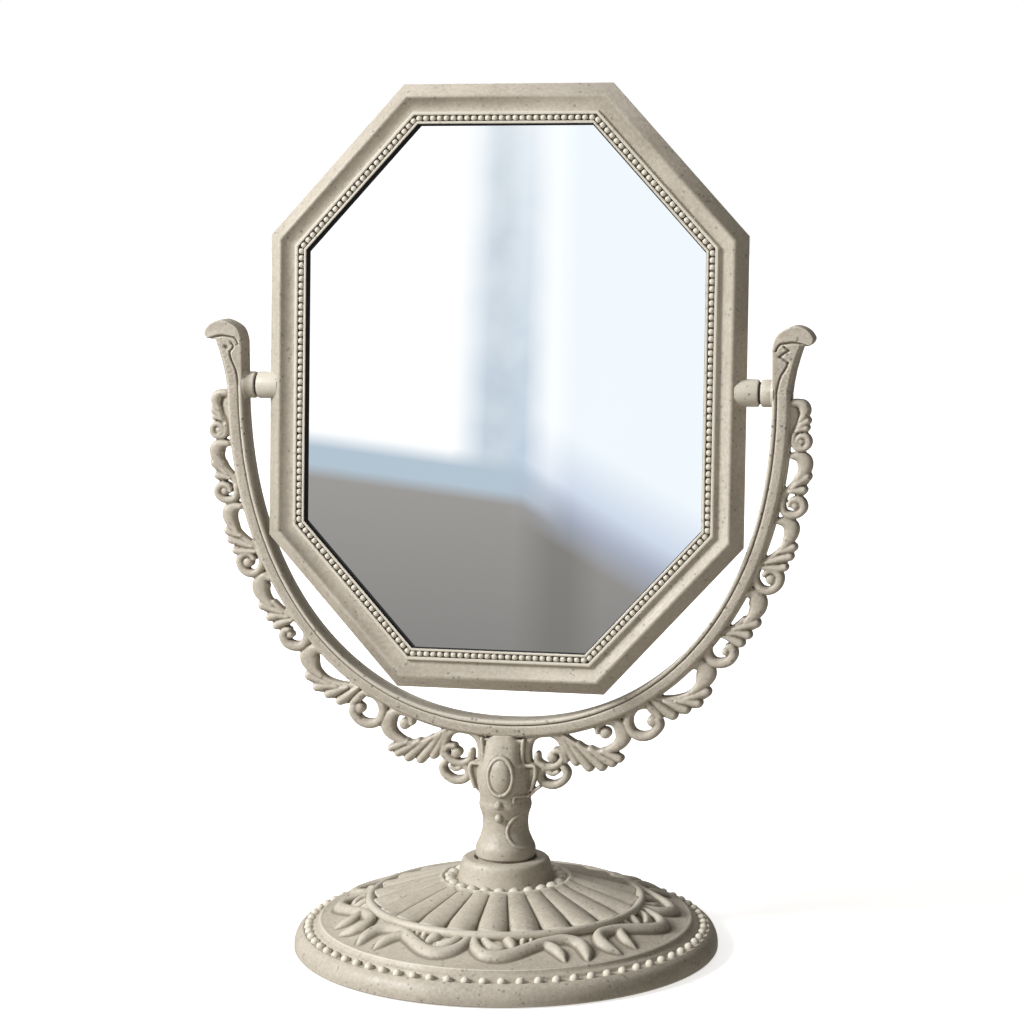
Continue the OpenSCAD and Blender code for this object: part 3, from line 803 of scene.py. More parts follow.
# Right border, from the top: strokes of each repeat as (x, height from the pivot, half width).
UNITS = [
    {
        "head": [(94.2, -2.7, 0.9), (95.4, -2.8, 1.0), (97.0, -3.5, 1.5), (97.7, -5.1, 1.6),
            (97.4, -6.7, 1.2), (96.4, -8.0, 0.5)],
        "spine": [(96.5, -7.5, 0.4), (95.9, -9.7, 0.4), (95.1, -11.3, 0.5), (94.2, -13.1, 0.5)],
        "fingers": [
            [(95.8, -10.3, 0.3), (97.2, -9.2, 0.7), (98.4, -8.4, 1.0)],
            [(95.2, -11.5, 0.3), (96.8, -10.9, 0.6), (98.1, -10.7, 0.9)],
        ],
        "volute": [(94.2, -13.1, 0.5), (94.1, -15.1, 0.7), (94.8, -16.8, 0.7), (96.4, -17.2, 0.8),
            (98.2, -16.7, 0.9), (98.9, -15.1, 1.0), (98.2, -13.4, 0.9), (96.5, -13.2, 0.7),
            (95.4, -14.2, 0.6), (95.3, -15.7, 0.5), (96.4, -16.3, 0.4)],
        "eye": (96.5, -15.0, 0.9),
    },
    {
        "head": [(93.9, -19.6, 0.8), (95.7, -19.7, 1.5), (97.5, -21.0, 2.2), (97.8, -23.2, 2.1),
            (96.9, -25.1, 1.4), (95.6, -26.7, 0.6)],
        "spine": [(95.5, -25.8, 0.4), (94.7, -27.7, 0.5), (93.1, -29.9, 0.7), (91.5, -31.9, 0.8),
            (90.6, -34.5, 0.9)],
        "fingers": [
            [(94.0, -29.7, 0.3), (95.6, -28.2, 0.8), (97.2, -27.0, 1.3), (98.5, -26.1, 1.3)],
            [(93.1, -30.9, 0.3), (94.9, -30.5, 0.8), (96.7, -30.4, 1.1), (97.5, -30.3, 1.0)],
        ],
        "volute": [(90.9, -33.6, 0.9), (90.8, -35.8, 0.9), (91.7, -37.8, 1.0), (94.1, -38.4, 1.1),
            (96.2, -37.8, 1.1), (97.5, -36.0, 1.2), (96.9, -34.0, 1.2), (95.3, -33.3, 0.9),
            (93.5, -33.9, 0.7), (92.9, -35.4, 0.4)],
        "eye": (94.8, -35.3, 1.2),
    },
    {
        "head": [(89.8, -40.5, 0.8), (91.8, -40.7, 1.6), (93.6, -42.3, 2.3), (93.5, -44.8, 2.0),
            (92.3, -47.1, 1.4), (90.9, -48.9, 0.5)],
        "spine": [(90.9, -48.9, 0.5), (88.5, -51.3, 0.6), (85.8, -53.3, 0.7), (83.4, -55.2, 0.8)],
        "fingers": [
            [(89.6, -50.2, 0.3), (91.4, -49.7, 0.7), (93.3, -49.1, 1.1), (94.3, -48.7, 1.2)],
            [(85.7, -53.7, 0.3), (88.2, -53.0, 0.8), (91.4, -52.1, 1.1), (93.3, -51.7, 1.1)],
            [(84.7, -55.3, 0.3), (87.3, -55.4, 0.8), (89.8, -55.5, 1.0), (91.7, -55.2, 1.0)],
        ],
        "volute": [(83.4, -55.2, 1.0), (82.4, -57.6, 1.1), (82.7, -60.3, 1.1), (84.5, -62.5, 1.2),
            (87.2, -62.8, 1.2), (89.5, -61.1, 1.3), (90.2, -58.3, 1.3), (88.7, -56.5, 1.1),
            (86.6, -56.4, 0.8), (85.2, -57.7, 0.6)],
        "eye": (87.3, -59.1, 1.5),
    },
    {
        "head": [(79.9, -64.1, 0.9), (81.8, -63.9, 1.6), (83.1, -66.0, 2.7), (83.1, -68.7, 2.5),
            (81.6, -71.2, 1.7), (79.5, -73.2, 0.9)],
        "spine": [(78.8, -72.2, 0.5), (75.6, -75.2, 0.6), (71.9, -77.1, 0.8), (68.9, -78.7, 1.1),
            (67.1, -81.1, 1.4)],
        "fingers": [
            [(75.5, -75.6, 0.3), (78.6, -74.6, 0.9), (81.2, -73.8, 1.3), (82.6, -73.5, 1.4)],
            [(73.7, -76.9, 0.3), (76.7, -76.7, 0.9), (79.0, -77.1, 1.2), (80.1, -77.4, 1.2)],
            [(72.3, -78.0, 0.3), (74.6, -78.6, 0.9), (76.8, -79.6, 1.3), (77.8, -80.1, 1.2)],
        ],
        "volute": [(68.9, -78.7, 1.3), (67.1, -81.3, 1.5), (67.2, -84.3, 1.5), (69.0, -86.5, 1.5),
            (71.7, -86.9, 1.5), (74.3, -85.8, 1.5), (75.5, -83.5, 1.5), (74.8, -81.7, 1.2),
            (73.5, -81.3, 0.7)],
        "eye": (72.9, -83.0, 1.0),
    },
    {
        "head": [(61.7, -88.1, 0.9), (64.4, -87.6, 1.9), (66.6, -89.8, 3.0), (66.1, -92.3, 2.7),
            (64.5, -94.7, 1.5), (62.4, -96.4, 0.7)],
        "spine": [(63.4, -95.2, 0.5), (60.6, -97.7, 0.6), (56.0, -99.2, 0.7), (51.5, -99.3, 0.6),
            (48.7, -98.9, 0.6)],
        "fingers": [
            [(59.7, -99.1, 0.3), (62.9, -97.9, 0.9), (65.5, -96.9, 1.4), (66.7, -96.5, 1.5)],
            [(57.0, -99.7, 0.3), (60.2, -99.7, 1.0), (62.8, -100.1, 1.3), (64.1, -100.3, 1.3)],
            [(53.3, -99.8, 0.3), (56.1, -100.8, 1.1), (58.7, -102.0, 1.4), (60.1, -102.5, 1.3)],
            [(49.2, -99.5, 0.4), (51.5, -101.3, 1.1), (54.3, -103.6, 1.4), (56.0, -104.6, 1.3)],
        ],
        "web": [(46.9, -100.7, 1.0), (49.4, -102.9, 1.5), (51.6, -105.2, 1.1)],
        "volute": [(46.9, -101.3, 1.3), (43.7, -102.2, 1.5), (41.5, -105.1, 1.5),
            (41.4, -108.6, 1.5), (43.2, -111.2, 1.4), (46.4, -112.0, 1.4), (49.4, -110.9, 1.4),
            (51.4, -108.3, 1.5), (51.1, -106.2, 1.2)],
        "eye": (49.3, -106.8, 1.7),
    },
]
# Large curl under the arch beside the stem, and its row of leaf lobes.
LEAF_CURL = [(31.3, -111.0, 0.9), (31.7, -108.6, 1.3), (34.4, -107.3, 1.3), (37.3, -107.8, 1.8),
             (39.1, -110.1, 2.4), (39.5, -112.8, 2.5), (37.8, -115.3, 1.9), (34.4, -117.1, 1.2),
             (31.2, -117.8, 0.8), (27.5, -117.1, 0.7), (23.3, -115.0, 0.7), (20.0, -112.8, 0.6),
             (16.2, -110.2, 0.6)]
LEAF_EYE = (33.8, -111.4, 1.9)
LEAF_LOBES = [
    [(19.7, -113.3, 0.5), (21.7, -117.6, 1.1), (24.0, -121.4, 1.1)],
    [(21.7, -114.3, 0.5), (25.0, -118.9, 1.2), (28.4, -123.0, 1.2)],
    [(24.7, -115.6, 0.5), (28.9, -119.2, 1.2), (32.6, -122.6, 1.2)],
    [(28.9, -116.9, 0.5), (32.6, -119.4, 1.1), (36.1, -121.2, 1.1)],
    [(33.0, -117.3, 0.5), (36.1, -118.7, 0.9), (38.5, -119.7, 0.9)],
]
# Ribbons of the small double curl next to the stem.
STEM_CURLS = [
    [(8.0, -121.6, 0.8), (7.8, -117.9, 1.0), (9.0, -114.5, 1.1), (12.4, -112.3, 1.1),
     (16.1, -112.3, 1.1), (19.1, -114.4, 1.1), (20.3, -118.1, 1.0), (20.7, -121.0, 0.8)],
    [(11.1, -119.6, 0.7), (11.5, -122.0, 0.8), (14.4, -123.6, 0.9), (18.0, -122.6, 0.9),
     (19.9, -120.2, 0.9), (19.0, -118.2, 0.8), (17.0, -118.0, 0.7)],
    [(13.4, -124.1, 0.8), (12.0, -126.4, 1.1), (13.3, -128.9, 1.1), (16.9, -129.5, 1.1),
     (20.0, -127.7, 1.1), (21.0, -125.2, 1.0), (19.9, -123.3, 0.8)],
    [(14.9, -125.1, 0.6), (16.5, -125.6, 0.6), (18.0, -124.9, 0.5)],
    [(9.2, -122.8, 0.6), (11.5, -124.6, 0.8)],
]
STEM_EYE = (16.1, -120.2, 1.1)
# Set-back stroke that carries the top of the border beside the arm.
BORDER_TOP = [(94.0, -4.0, 1.2), (94.3, -7.5, 1.5), (94.0, -11.5, 1.2)]


def fatter(line, extra):
    """Same stroke with wider sides."""
    return [(x, z, w + extra) for x, z, w in line]


def palm(line, extra):
    """Set-back stroke that closes the gap beside a leaf finger."""
    return [(*line[0][:2], line[0][2] + 0.15), *fatter(line[1:-1], extra)]


def unit(shape):
    """One repeat of the border: hooked head, spine, leaf fingers and a volute."""
    x, z, radius = shape["eye"]
    pieces = [
        stroke(fatter(shape["head"], 0.22), front=FRONT_Y + 0.1, crown=1.1),
        stroke(fatter(shape["spine"], 0.3), front=FRONT_Y + 0.45),
        stroke(fatter(shape["volute"], 0.12), front=FRONT_Y + 0.05, crown=1.1),
        ball((x, z), radius + 0.15, front=FRONT_Y + 0.1),
    ]
    for i, finger in enumerate(shape["fingers"]):
        pieces.append(stroke(fatter(finger, 0.3), front=FRONT_Y + 0.05 - 0.06 * i, crown=1.35))
        pieces.append(stroke(palm(finger, 0.8), front=FRONT_Y + 1.0))
    if "web" in shape:
        pieces.append(stroke(shape["web"], front=FRONT_Y + 0.2))
    return pieces


def stem_scrolls():
    """Curled leaf under the arch and the looped ribbon with two curls beside the stem."""
    pieces = [stroke(LEAF_CURL, crown=1.1), ball(LEAF_EYE[:2], LEAF_EYE[2], front=FRONT_Y + 0.1)]
    for i, lobe in enumerate(LEAF_LOBES):
        pieces.append(stroke(fatter(lobe, 0.45), front=FRONT_Y - 0.05 * i, crown=1.35))
        pieces.append(stroke(palm(lobe, 1.2), front=FRONT_Y + 1.0))
    for i, ribbon in enumerate(STEM_CURLS):
        pieces.append(stroke(fatter(ribbon, 0.25), front=FRONT_Y - 0.15 * (i == 1), crown=1.1))
    pieces.append(ball(STEM_EYE[:2], STEM_EYE[2] + 0.65, front=FRONT_Y - 0.3))
    return pieces


def border_web():
    """Thin set-back strip that ties the scrolls to the arch."""
    rings = []
    for t in np.arange(1, 85.1, 2.0):
        (x0, z0), (x1, z1) = off_arch(t, -0.6), off_arch(t, 0.5)
        rings.append([(x0, BACK_Y, z0), (x0, FRONT_Y + 1.2, z0), (x1, FRONT_Y + 1.2, z1), (x1, BACK_Y, z1)])
    return loft("web", rings)


class SWIVELMIRROR_OT_scroll_borders(bpy.types.Operator):
    """Models one scroll border from sculpted ribbons and copies it across as its mirror image"""

    bl_idname = "swivelmirror.scroll_borders"
    bl_label = "Scroll borders"

    def execute(self, context):
        pieces = [border_web()]
        for shape in UNITS:
            pieces += unit(shape)
        pieces += stem_scrolls()
        pieces.append(stroke(BORDER_TOP, front=FRONT_Y + 1.3))
        border = join("right_scrolls", pieces)
        write_points(border, read_points(border) + (0, 0, PIVOT_Z))
        voxel_fuse(border, context.scene.swivel_mirror_sizes.scroll_grain / MM)
        co = read_points(border)
        co[:, 0] = np.minimum(co[:, 0], CAD_BOX[1].x / MM - 0.01)
        write_points(border, co)
        pick(border)
        bpy.ops.object.duplicate()
        twin = bpy.context.object
        twin.name = "left_scrolls"
        mirror_across(twin)
        settle(border, STAND, "right_scroll_border", "plastic")
        settle(twin, STAND, "left_scroll_border", "plastic")
        return {"FINISHED"}


# ---- yoke ----

ARCH_STATION = 0.42  # length of one step of the sweep
ARCH_FIELD = (1.9, 5.2)  # pebbled part of the section, from the inner edge
ARCH_SEED = 5
# Section of the arch: distance out from the inner edge, and depth. The front is at -4.5.
ARCH_SECTION = [
    (0.35, 4.5), (0.0, 4.15), (0.0, 1.5), (0.0, -1.5), (0.0, -3.8), (0.1, -4.2), (0.35, -4.45),
    (0.75, -4.5), (1.1, -4.42), (1.3, -4.2), (1.42, -3.75), (1.6, -3.7), (1.75, -4.0), (2.0, -4.2),
    (2.4, -4.25), (2.8, -4.27), (3.2, -4.28), (3.6, -4.28), (4.0, -4.27), (4.4, -4.24), (4.7, -4.15),
    (5.0, -3.9), (5.3, -3.5), (5.6, -3.0), (5.8, -2.3), (5.8, 0.0), (5.8, 4.15), (5.45, 4.5), (3.0, 4.5),
]


def pebbles(u, v, seed):
    """Fine pitted pattern from crossed waves, about -1 to 1."""
    rng = np.random.default_rng(seed)
    total = np.zeros(np.broadcast(u, v).shape)
    for _ in range(10):
        a = rng.uniform(0, FULL_TURN)
        f = rng.uniform(3.6, 6.4)
        total += np.sin(f * (u * math.cos(a) + v * math.sin(a)) + rng.uniform(0, FULL_TURN))
    return total / 4


class SWIVELMIRROR_OT_yoke_arch(bpy.types.Operator):
    """Sweeps the arch with its rim bead, groove and pebbled field"""

    bl_idname = "swivelmirror.yoke_arch"
    bl_label = "Yoke arch"

    def execute(self, context):
        fine = np.linspace(-180, 0, 4001)
        line = np.array([full(ARM_X + 3, ARCH_B + 3, INNER_N, t) for t in fine])
        run = np.r_[0, np.cumsum(np.linalg.norm(np.diff(line, axis=0), axis=1))]
        travel = np.linspace(0, run[-1], int(run[-1] / ARCH_STATION) + 1)
        section = np.array(ARCH_SECTION)
        rings = []
        for t, s in zip(np.interp(travel, run, fine), travel):
            ring = []
            pits = pebbles(np.full(len(section), s), section[:, 0], ARCH_SEED)
            for (e, y), pit in zip(section, pits):
                n = INNER_N + (OUTER_N - INNER_N) * e / ARCH_W
                x, z = full(ARM_X + e, ARCH_B + e, n, t)
                if ARCH_FIELD[0] < e < ARCH_FIELD[1] and y < 0:
                    y += 0.04 * min(max(pit, -1.0), 1.0) + 0.03
                ring.append((x, y, z + PIVOT_Z))
            rings.append(ring)
        arch = loft("arch_bow", rings)
        tidy_mesh(arch)
        settle(arch, STAND, "yoke_arch", "pebbled", 40, 1)
        return {"FINISHED"}


# Finial as (out from the arm's inner side, up from the pivot), and its cuts with half widths.
FINIAL_CURL = [(0, 14.6), (1.6, 18.8), (6.6, 21.4), (10.6, 20.4), (12.9, 17.6), (11.8, 15.4), (9.4, 15.2)]
FINIAL_NECK = [(8.2, 11.5), (7.0, 7.2), (6.2, 3.0)]
FINIAL_FOOT, FINIAL_BACK, FINIAL_DEPTH = -0.3, 4.5, 8.8
HEAD_UNDERCUT = [(1.2, 13.7, 0.2), (2.3, 15.6, 0.26), (4.4, 16.1, 0.28), (6.9, 16.4, 0.28),
                 (10.3, 15.7, 0.22), (11.6, 15.2, 0.2)]
RIGHT_CARVING = [
    [(1.5, -1.5, 0.2), (1.55, 0.5, 0.2), (1.9, 2.5, 0.22), (2.7, 5.4, 0.22), (4.4, 8.3, 0.24),
     (5.0, 9.9, 0.24)],
    [(5.0, 9.9, 0.24), (2.3, 11.8, 0.24)],
    [(2.3, 11.8, 0.24), (5.2, 13.8, 0.24)],
    [(5.2, 13.8, 0.24), (3.7, 15.0, 0.2)],
    HEAD_UNDERCUT,
]
LEFT_CARVING = [
    [(1.5, -1.5, 0.2), (1.6, 2.0, 0.2), (2.2, 5.2, 0.2), (3.6, 8.4, 0.2), (4.2, 11.0, 0.2)],
    [(4.2, 11.0, 0.2), (2.9, 12.6, 0.2), (3.5, 13.9, 0.2)],
    [(5.2, 12.4, 0.5), (5.5, 12.7, 0.45)],
    HEAD_UNDERCUT,
]


def finial_blank(name):
    """Extrudes the outline of one arm's head and rounds its front edges."""
    curl = smooth_line([(x, z, 0) for x, z in FINIAL_CURL], 6)[:, :2]
    outline = [(0, FINIAL_FOOT), (0, 4.0), (0, 9.0), *curl, *FINIAL_NECK, (ARCH_W, FINIAL_FOOT)]
    verts = [(ARM_X + x, FINIAL_BACK, PIVOT_Z + z) for x, z in outline]
    obj = new_object(name, verts, faces=[tuple(range(len(outline)))])
    start_edit(obj)
    bpy.ops.mesh.extrude_region_move(TRANSFORM_OT_translate={"value": (0, -FINIAL_DEPTH, 0)})
    end_edit()
    start_edit(obj, "DESELECT")
    end_edit()
    front_y = FINIAL_BACK - FINIAL_DEPTH
    front = [abs(v.co.y - front_y) < 1e-3 for v in obj.data.vertices]
    low = [v.co.z < PIVOT_Z - 0.2 for v in obj.data.vertices]
    for edge in obj.data.edges:
        a, b = edge.vertices
        edge.select = front[a] and front[b] and not (low[a] and low[b])
    pick(obj)
    bpy.ops.object.mode_set(mode="EDIT")
    bpy.ops.mesh.select_mode(type="EDGE")
    bpy.ops.mesh.bevel(offset=0.6, segments=4, affect="EDGES", clamp_overlap=True)
    bpy.ops.mesh.select_all(action="SELECT")
    bpy.ops.mesh.normals_make_consistent(inside=False)
    end_edit()
    return obj


def finial(name, carving, seed):
    """Curled head of one arm: fused blank, front carved under a domed head."""
    obj = finial_blank(name)
    voxel_fuse(obj, 0.22)
    co = read_points(obj)
    flat = np.stack([co[:, 0] - ARM_X, co[:, 2] - PIVOT_Z], 1)
    across, up = flat[:, 0], flat[:, 1]
    face = np.clip((-2.2 - co[:, 1]) / 1.4, 0, 1)
    edge = np.interp(up, [0, 3, 7.2, 11.5, 15.2], [5.8, 6.2, 7.0, 8.2, 9.6])
    slant = np.clip((across - (edge - 1.2)) / 1.2, 0, 1) * (up < 15.4)
    undercut = smooth_line(HEAD_UNDERCUT, 5)
    over_cut = up - np.interp(across, undercut[:, 0], undercut[:, 1])
    head = over_cut > 0
    rim_gap = np.clip(over_cut / 4.0, 0, 1)
    foot = np.clip(1 - up / 5, 0, 1)
    sink = (1.1 + 0.7 * foot) * slant * face - 0.5 * head * (1 - rim_gap) ** 2
    sink -= 0.2 * foot * np.clip((1.35 - across) / 0.3, 0, 1)
    field = (across > 2.0) & ~head
    sink += 0.05 * np.clip(pebbles(across, up, seed), -1, 1) * field
    for cut in carving:
        line = smooth_line(cut, 5) if len(cut) > 2 else np.array(cut)
        gap, width = line_distance(flat, line)
        sink += 0.75 * np.exp(-((gap / (width * 1.35)) ** 2))
    co[:, 1] += face * sink
    write_points(obj, co)
    return obj


class SWIVELMIRROR_OT_finials(bpy.types.Operator):
    """Models the curled head of each arm and carves its front"""

    bl_idname = "swivelmirror.finials"
    bl_label = "Finials"

    def execute(self, context):
        right = finial("right_finial", RIGHT_CARVING, 11)
        left = finial("left_finial", LEFT_CARVING, 12)
        mirror_across(left)
        for piece in (right, left):
            settle(piece, STAND, "yoke_arch", "pebbled")
        return {"FINISHED"}


# ---- stem ----

STEM_LIFT = COLLAR_TOP - 30.1  # the stem's heights are drawn for a collar that ends at 30.1
# Turned foot as (radius, height), and the neck as (height, half width, half depth).
STEM_TURNED = [
    (0, 21.1), (9.15, 21.1), (9.15, 30.2), (9.5, 30.35), (9.85, 30.75), (9.95, 31.6), (9.95, 33.2),
    (9.75, 34.1), (9.4, 34.8), (8.85, 35.9), (8.2, 37.5), (7.7, 39.2), (7.5, 41.4), (7.6, 43.7),
    (8.05, 45.4), (8.5, 46.6), (8.7, 47.7), (8.62, 48.6), (8.4, 49.5), (8.5, 51.0), (8.9, 52.8),
    (9.3, 55.2), (9.45, 58.0), (9.35, 60.0), (9.0, 61.4), (8.2, 62.6), (7.3, 63.8), (6.7, 65.4),
    (6.2, 67.3), (5.7, 69.2), (4.3, 70.5), (0, 70.5),
]
STEM_NECK = [
    (57.0, 7.6, 7.8), (59.0, 8.0, 8.2), (61.0, 7.9, 8.3), (62.5, 7.2, 8.0), (64.0, 6.7, 7.6),
    (65.8, 6.4, 7.1), (67.4, 6.3, 6.6), (68.8, 6.0, 6.0), (70.0, 4.9, 5.2), (71.2, 4.0, 4.3),
]
# Flat shoulder plate and its raised edge, and the thin lines, as (x, height, half width).
STEM_PLATE = [(0.0, 69.9), (6.9, 69.9), (6.6, 66.4), (6.7, 62.8), (7.9, 61.5), (10.9, 61.4),
              (11.1, 59.0), (10.6, 56.7), (9.6, 53.6), (8.0, 51.6), (0.0, 51.6)]
PLATE_EDGE = [(7.0, 69.9, 0.5), (6.7, 66.6, 0.6), (6.7, 62.9, 0.6), (7.9, 61.6, 0.6),
              (10.6, 61.4, 0.6), (11.0, 59.0, 0.6), (10.5, 56.7, 0.6), (9.6, 53.6, 0.5)]
THIN_LINES = [
    [(8.5, 47.4, 0.35), (7.3, 46.0, 0.45), (4.6, 44.3, 0.45), (2.7, 41.7, 0.45), (2.5, 39.0, 0.45),
     (4.0, 36.5, 0.45), (6.5, 34.9, 0.45), (8.7, 34.5, 0.4)],
    [(8.6, 51.2, 0.4), (6.9, 51.6, 0.45), (5.4, 51.7, 0.45), (4.7, 51.1, 0.45), (4.7, 49.9, 0.45)],
]
BRACE = [(12.4, 54.6, 0.5), (11.0, 53.6, 0.5), (9.4, 51.9, 0.45), (8.2, 51.3, 0.4)]
# Radius of the stem behind the thin lines and behind the oval's ring, by height.
LINE_SEAT = ([33, 34.8, 35.9, 37.5, 39.2, 43.7, 45.4, 46.6, 49.5, 52.8],
             [9.9, 9.4, 8.85, 8.2, 7.65, 7.6, 8.05, 8.5, 8.4, 8.9])
RING_SEAT = ([50, 55, 60.5, 62, 66], [8.5, 9.3, 9.3, 8.9, 7.5])
OVAL_X, OVAL_Z = 0.3, 58.4
OVAL_RING = (4.2, 6.3)
OVAL_SIZE = (3.45, 1.7, 5.5)
KNOBS = ((48.9, -8.6), (44.5, -8.0))  # height and depth of the two small balls


def lifted(line):
    return [(x, z + STEM_LIFT, w) for x, z, w in line]


def stem_neck():
    rings = []
    for z, a, b in STEM_NECK:
        ring = []
        for t in np.linspace(0, FULL_TURN, 41)[:-1]:
            c, s = math.cos(t), math.sin(t)
            x, y = a * math.copysign(abs(c) ** 0.66, c), b * math.copysign(abs(s) ** 0.72, s)
            ring.append((x, y, z + STEM_LIFT))
        rings.append(ring)
    return loft("neck", rings)


def shoulder_plate(side):
    """Flat plate beside the neck and the raised edge on it, right (1) or left (-1)."""
    outline = [(side * x, z + STEM_LIFT) for x, z in STEM_PLATE]
    plate = loft("plate", [[(x, y, z) for x, z in outline] for y in (BACK_Y, -3.6)])
    edge = [(side * x, z, w) for x, z, w in lifted(PLATE_EDGE)]
    return [plate, stroke(edge, front=-4.6, back=-1.0)]


def oval_boss():
    """Oval boss on the front of the shield with its ring."""
    centre = OVAL_Z + STEM_LIFT
    line = [(OVAL_X + OVAL_RING[0] * math.cos(t), centre + OVAL_RING[1] * math.sin(t), 0.5)
            for t in np.linspace(0, FULL_TURN, 41)]
    ring = stroke(line, 1, front=-1.0, back=1.0)
    co = read_points(ring)
    reach = np.interp(co[:, 2] - STEM_LIFT, *RING_SEAT)
    co[:, 1] += 0.35 - reach * np.sqrt(np.clip(1 - (co[:, 0] / 9.6) ** 2, 0.05, 1))
    write_points(ring, co)
    oval = bead_ball("oval", 1.0, 36, 22)
    write_points(oval, read_points(oval) * OVAL_SIZE + (OVAL_X, -8.3, centre))
    return [ring, oval]


def thin_line(line):
    """Thin raised line that lies on the turned part of the stem."""
    obj = stroke(lifted(line), 8, front=-0.55, back=1.0)
    co = read_points(obj)
    reach = np.interp(co[:, 2] - STEM_LIFT, *LINE_SEAT)
    co[:, 1] -= np.sqrt(np.clip(reach ** 2 - co[:, 0] ** 2, 1, None))
    write_points(obj, co)
    return obj


class SWIVELMIRROR_OT_stem(bpy.types.Operator):
    """Fuses the turned foot, the shield, its rims, oval boss, balls and thin scroll into one stem"""

    bl_idname = "swivelmirror.stem"
    bl_label = "Stem"

    def execute(self, context):
        pieces = [spun("foot", [(r, z + STEM_LIFT) for r, z in STEM_TURNED], 72), stem_neck()]
        for side in (-1, 1):
            pieces += shoulder_plate(side)
        pieces += oval_boss()
        for z, y in KNOBS:
            knob = bead_ball("knob", 1.3, 20, 14)
            write_points(knob, read_points(knob) + (-0.4, y, z + STEM_LIFT))
            pieces.append(knob)
        pieces += [thin_line(line) for line in THIN_LINES]
        pieces.append(stroke(lifted(BRACE), front=-4.2, back=0))
        stem = join("stem_body", pieces)
        voxel_fuse(stem, 0.25)
        settle(stem, STAND, "stem", "plastic")
        return {"FINISHED"}


# ---- mirror frames ----


def octagon(d):
    """Corners of the octagon, d inside its outer edge, anticlockwise from the lower right side."""
    size = math.hypot(CUT_X, CUT_Z)
    nx, nz = CUT_Z / size, CUT_X / size
    c = nx * HALF_W + nz * (HALF_H - CUT_Z) - d
    q = (c - nx * (HALF_W - d)) / nz
    t = (c - nz * (HALF_H - d)) / nx
    w, h = HALF_W - d, HALF_H - d
    return [(w, -q), (w, q), (t, h), (-t, h), (-w, q), (-w, -q), (-t, -h), (t, -h)]


# Section of the moulding: distance in from the outer edge and height above the middle plane.
FRAME_SECTION = [
    (0.0, 0.0), (0.25, 0.35), (3.3, 3.9), (3.6, 4.28), (4.0, 4.5), (4.4, 4.58), (4.75, 4.45),
    (5.05, 4.2), (5.6, 3.72), (6.3, 3.25), (7.1, 2.88), (8.0, 2.66), (8.85, 2.6), (9.05, 2.7),
    (9.15, 3.5), (9.4, 3.85), (9.75, 3.95), (10.1, 3.85), (10.3, 3.5), (10.35, 2.75),
    (12.15, 2.75), (12.2, 3.5), (12.4, 3.78), (12.75, 3.85), (13.05, 3.7), (13.2, 3.4),
    (13.2, 2.62), (13.3, 2.56), (13.3, 2.48), (10.9, 2.42), (10.9, 0.0),
]
LEDGE = (27, 28)  # points of the dark bed that holds the glass, which is set a little off centre
BEAD_INSET, BEAD_HEIGHT = 11.25, 2.95
# Finishes of the moulding's strips: plain plastic, painted highlight on the raised rails, painted shade in
# the bead groove, and the black edge round the glass.
BAND_FINISHES = ["plastic", "raised_highlight", "groove", "edge"]


def band_of(a, b):
    """Which of BAND_FINISHES the strip between two section points takes."""
    d, h = (a[0] + b[0]) / 2, (a[1] + b[1]) / 2
    if h < 0.2:
        return 0
    if d > 13.12 or (d > 12.0 and h < 2.56):
        return 3
    # Groove floor and low walls between the rails: painted shade.
    if 10.3 < d < 12.2 and h < 3.5:
        return 2
    # Strips further in than 9 mm, the raised rails round the bead groove: painted highlight.
    return 1 if d > 9.0 else 0


def frame_corner(corner):
    """Section points of the moulding at one corner of the octagon."""
    ring = []
    for i, (inset, height) in enumerate(FRAME_SECTION):
        x, z = octagon(inset)[corner]
        if i in LEDGE:
            x, z = x + (0.8 if x < 0 else 0.0), z - (0.35 if z > 0 else -0.15)
        ring.append((x, z, height))
    return ring


def into_yoke(obj, face):
    """Sets a flat piece, face up, on the front (1) or rear (-1) of the leaning mirror."""
    tilt = math.pi / 2 - LEAN
    x, y, z = (read_points(obj) * (1, 1, face)).T
    up = y * math.sin(tilt) + z * math.cos(tilt) + PIVOT_Z
    write_points(obj, np.stack([x, y * math.cos(tilt) - z * math.sin(tilt), up], 1))


class SWIVELMIRROR_OT_frames(bpy.types.Operator):
    """Runs the moulding round the octagon with mitred corners, front and back"""

    bl_idname = "swivelmirror.frames"
    bl_label = "Octagonal frames"

    def execute(self, context):
        rings = [frame_corner(corner) for corner in range(8)]
        strips = [band_of(a, b) for a, b in zip(FRAME_SECTION, FRAME_SECTION[1:] + FRAME_SECTION[:1])]
        for name, node, face in (("front_moulding", "front_frame", 1), ("rear_moulding", "rear_frame", -1)):
            ring = loft(name, rings, closed_path=True)
            into_yoke(ring, face)
            start_edit(ring)
            bpy.ops.mesh.normals_make_consistent(inside=False)
            end_edit()
            settle(ring, SWING, node, "plastic", 38, None)
            for key in BAND_FINISHES[1:]:
                ring.data.materials.append(FINISHES[key])
            ring.data.polygons.foreach_set("material_index", strips * 8)
        return {"FINISHED"}


